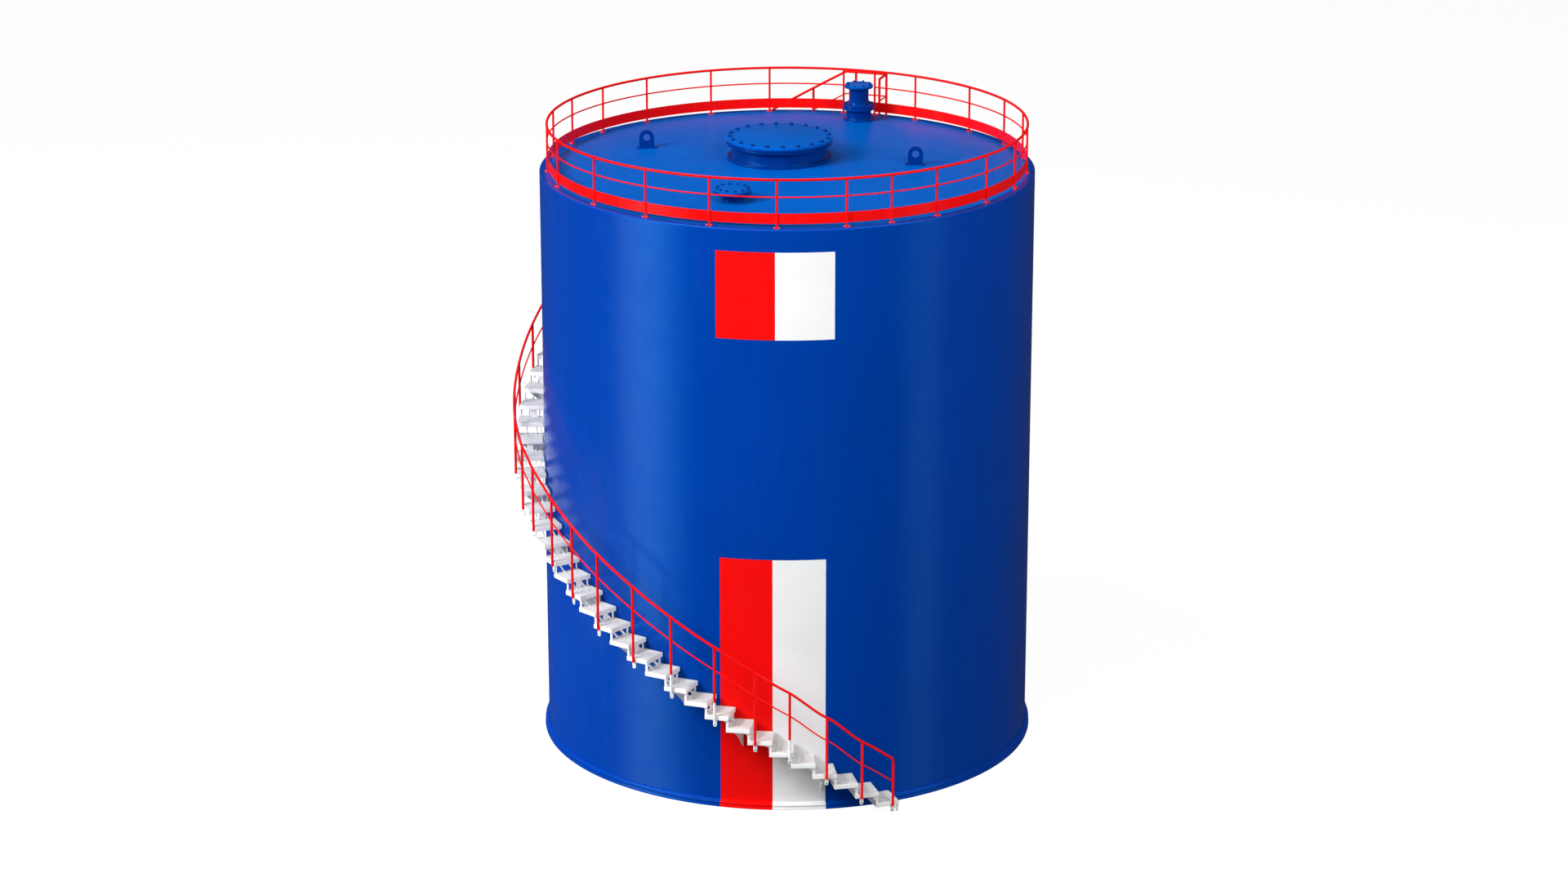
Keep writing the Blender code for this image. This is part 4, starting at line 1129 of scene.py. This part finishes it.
def softbox(name, bearing, elevation, distance, size, level, glossy):
    """Square area light aimed at the middle of the tank; level is what it adds to a facing white face."""
    light = bpy.data.lights.new(name, "AREA")
    light.shape = "SQUARE"
    light.size = size
    light.energy = level * pi * pi * distance ** 2
    lamp = add_object(name, light)
    away = spot(bearing, cos(radians(elevation)), sin(radians(elevation)))
    lamp.location = Vector((0, 0, 6.5)) + away * distance
    lamp.rotation_euler = away.to_track_quat("Z", "Y").to_euler()
    lamp.visible_camera = False
    lamp.visible_glossy = glossy
    return lamp


def studio_floor():
    """Pale floor that glows a little, so that it stays near white and keeps only a soft shadow."""
    bm = bmesh.new()
    bmesh.ops.create_grid(bm, x_segments=2, y_segments=2, size=900, matrix=Matrix.Translation((0, 0, -0.001)))
    data = bpy.data.meshes.new("studio_floor")
    bm.to_mesh(data)
    bm.free()
    material, _, shader = new_material("pale_studio_floor")
    feed(shader, {"Base Color": (0.12, 0.12, 0.12, 1), "Roughness": 1.0, "Specular IOR Level": 0.0,
                  "Emission Color": (1, 1, 1, 1), "Emission Strength": 0.93})
    data.materials.append(material)
    floor_object = add_object("studio_floor", data)
    floor_object.visible_diffuse = False
    floor_object.visible_glossy = False
    return floor_object


class TANK_OT_stage(bpy.types.Operator):
    """Set the camera, the soft lights, the pale floor and the world"""
    bl_idname = "tank.stage"
    bl_label = "Studio Stage"

    def execute(self, context):
        lens = bpy.data.cameras.new("camera")
        lens.lens = CAMERA_LENS
        lens.sensor_width = 36
        lens.clip_end = 2000
        camera = add_object("camera", lens)
        camera.location = CAMERA_PLACE
        camera.rotation_euler = (pi / 2 - CAMERA_DIP, 0, 0)
        context.scene.camera = camera
        context.scene.view_settings.view_transform = "Standard"
        studio_world(context)
        studio_floor()
        softbox("key_softbox", -58, 34, 60, 22, 1.24, False)
        softbox("fill_softbox", 36, 32, 42, 20, 0.66, False)
        softbox("top_softbox", -60, 66, 60, 12, 0.30, True)
        softbox("low_softbox", -85, -20, 14, 3, 0.30, False)
        return {"FINISHED"}


OPERATORS = (
    TANK_OT_shell, TANK_OT_base, TANK_OT_roof, TANK_OT_manhole, TANK_OT_hatch, TANK_OT_nozzle, TANK_OT_lugs,
    TANK_OT_guard_rail, TANK_OT_stair, TANK_OT_stair_rail, TANK_OT_landing, TANK_OT_stage,
)


class TANK_PT_panel(bpy.types.Panel):
    """Lists the pieces of the tank in the 3D view's sidebar"""
    bl_idname = "TANK_PT_panel"
    bl_label = "Storage Tank"
    bl_space_type = "VIEW_3D"
    bl_region_type = "UI"
    bl_category = "Storage Tank"

    def draw(self, context):
        for group in (context.scene.tank_sizes, context.scene.tank_paint):
            for name in group.__annotations__:
                self.layout.prop(group, name)
        for operator in OPERATORS:
            self.layout.operator(operator.bl_idname)


CLASSES = (TankSizes, TankPaint, *OPERATORS, TANK_PT_panel)


def register():
    for item in CLASSES:
        bpy.utils.register_class(item)
    bpy.types.Scene.tank_sizes = bpy.props.PointerProperty(type=TankSizes)
    bpy.types.Scene.tank_paint = bpy.props.PointerProperty(type=TankPaint)


def unregister():
    del bpy.types.Scene.tank_paint
    del bpy.types.Scene.tank_sizes
    for item in reversed(CLASSES):
        bpy.utils.unregister_class(item)


def main():
    register()
    bpy.ops.tank.shell()
    bpy.ops.tank.base()
    bpy.ops.tank.roof()
    bpy.ops.tank.manhole()
    bpy.ops.tank.hatch()
    bpy.ops.tank.nozzle()
    bpy.ops.tank.lugs()
    bpy.ops.tank.guard_rail()
    bpy.ops.tank.stair()
    bpy.ops.tank.stair_rail()
    bpy.ops.tank.landing()
    bpy.ops.tank.stage()


if __name__ == "__main__":
    main()
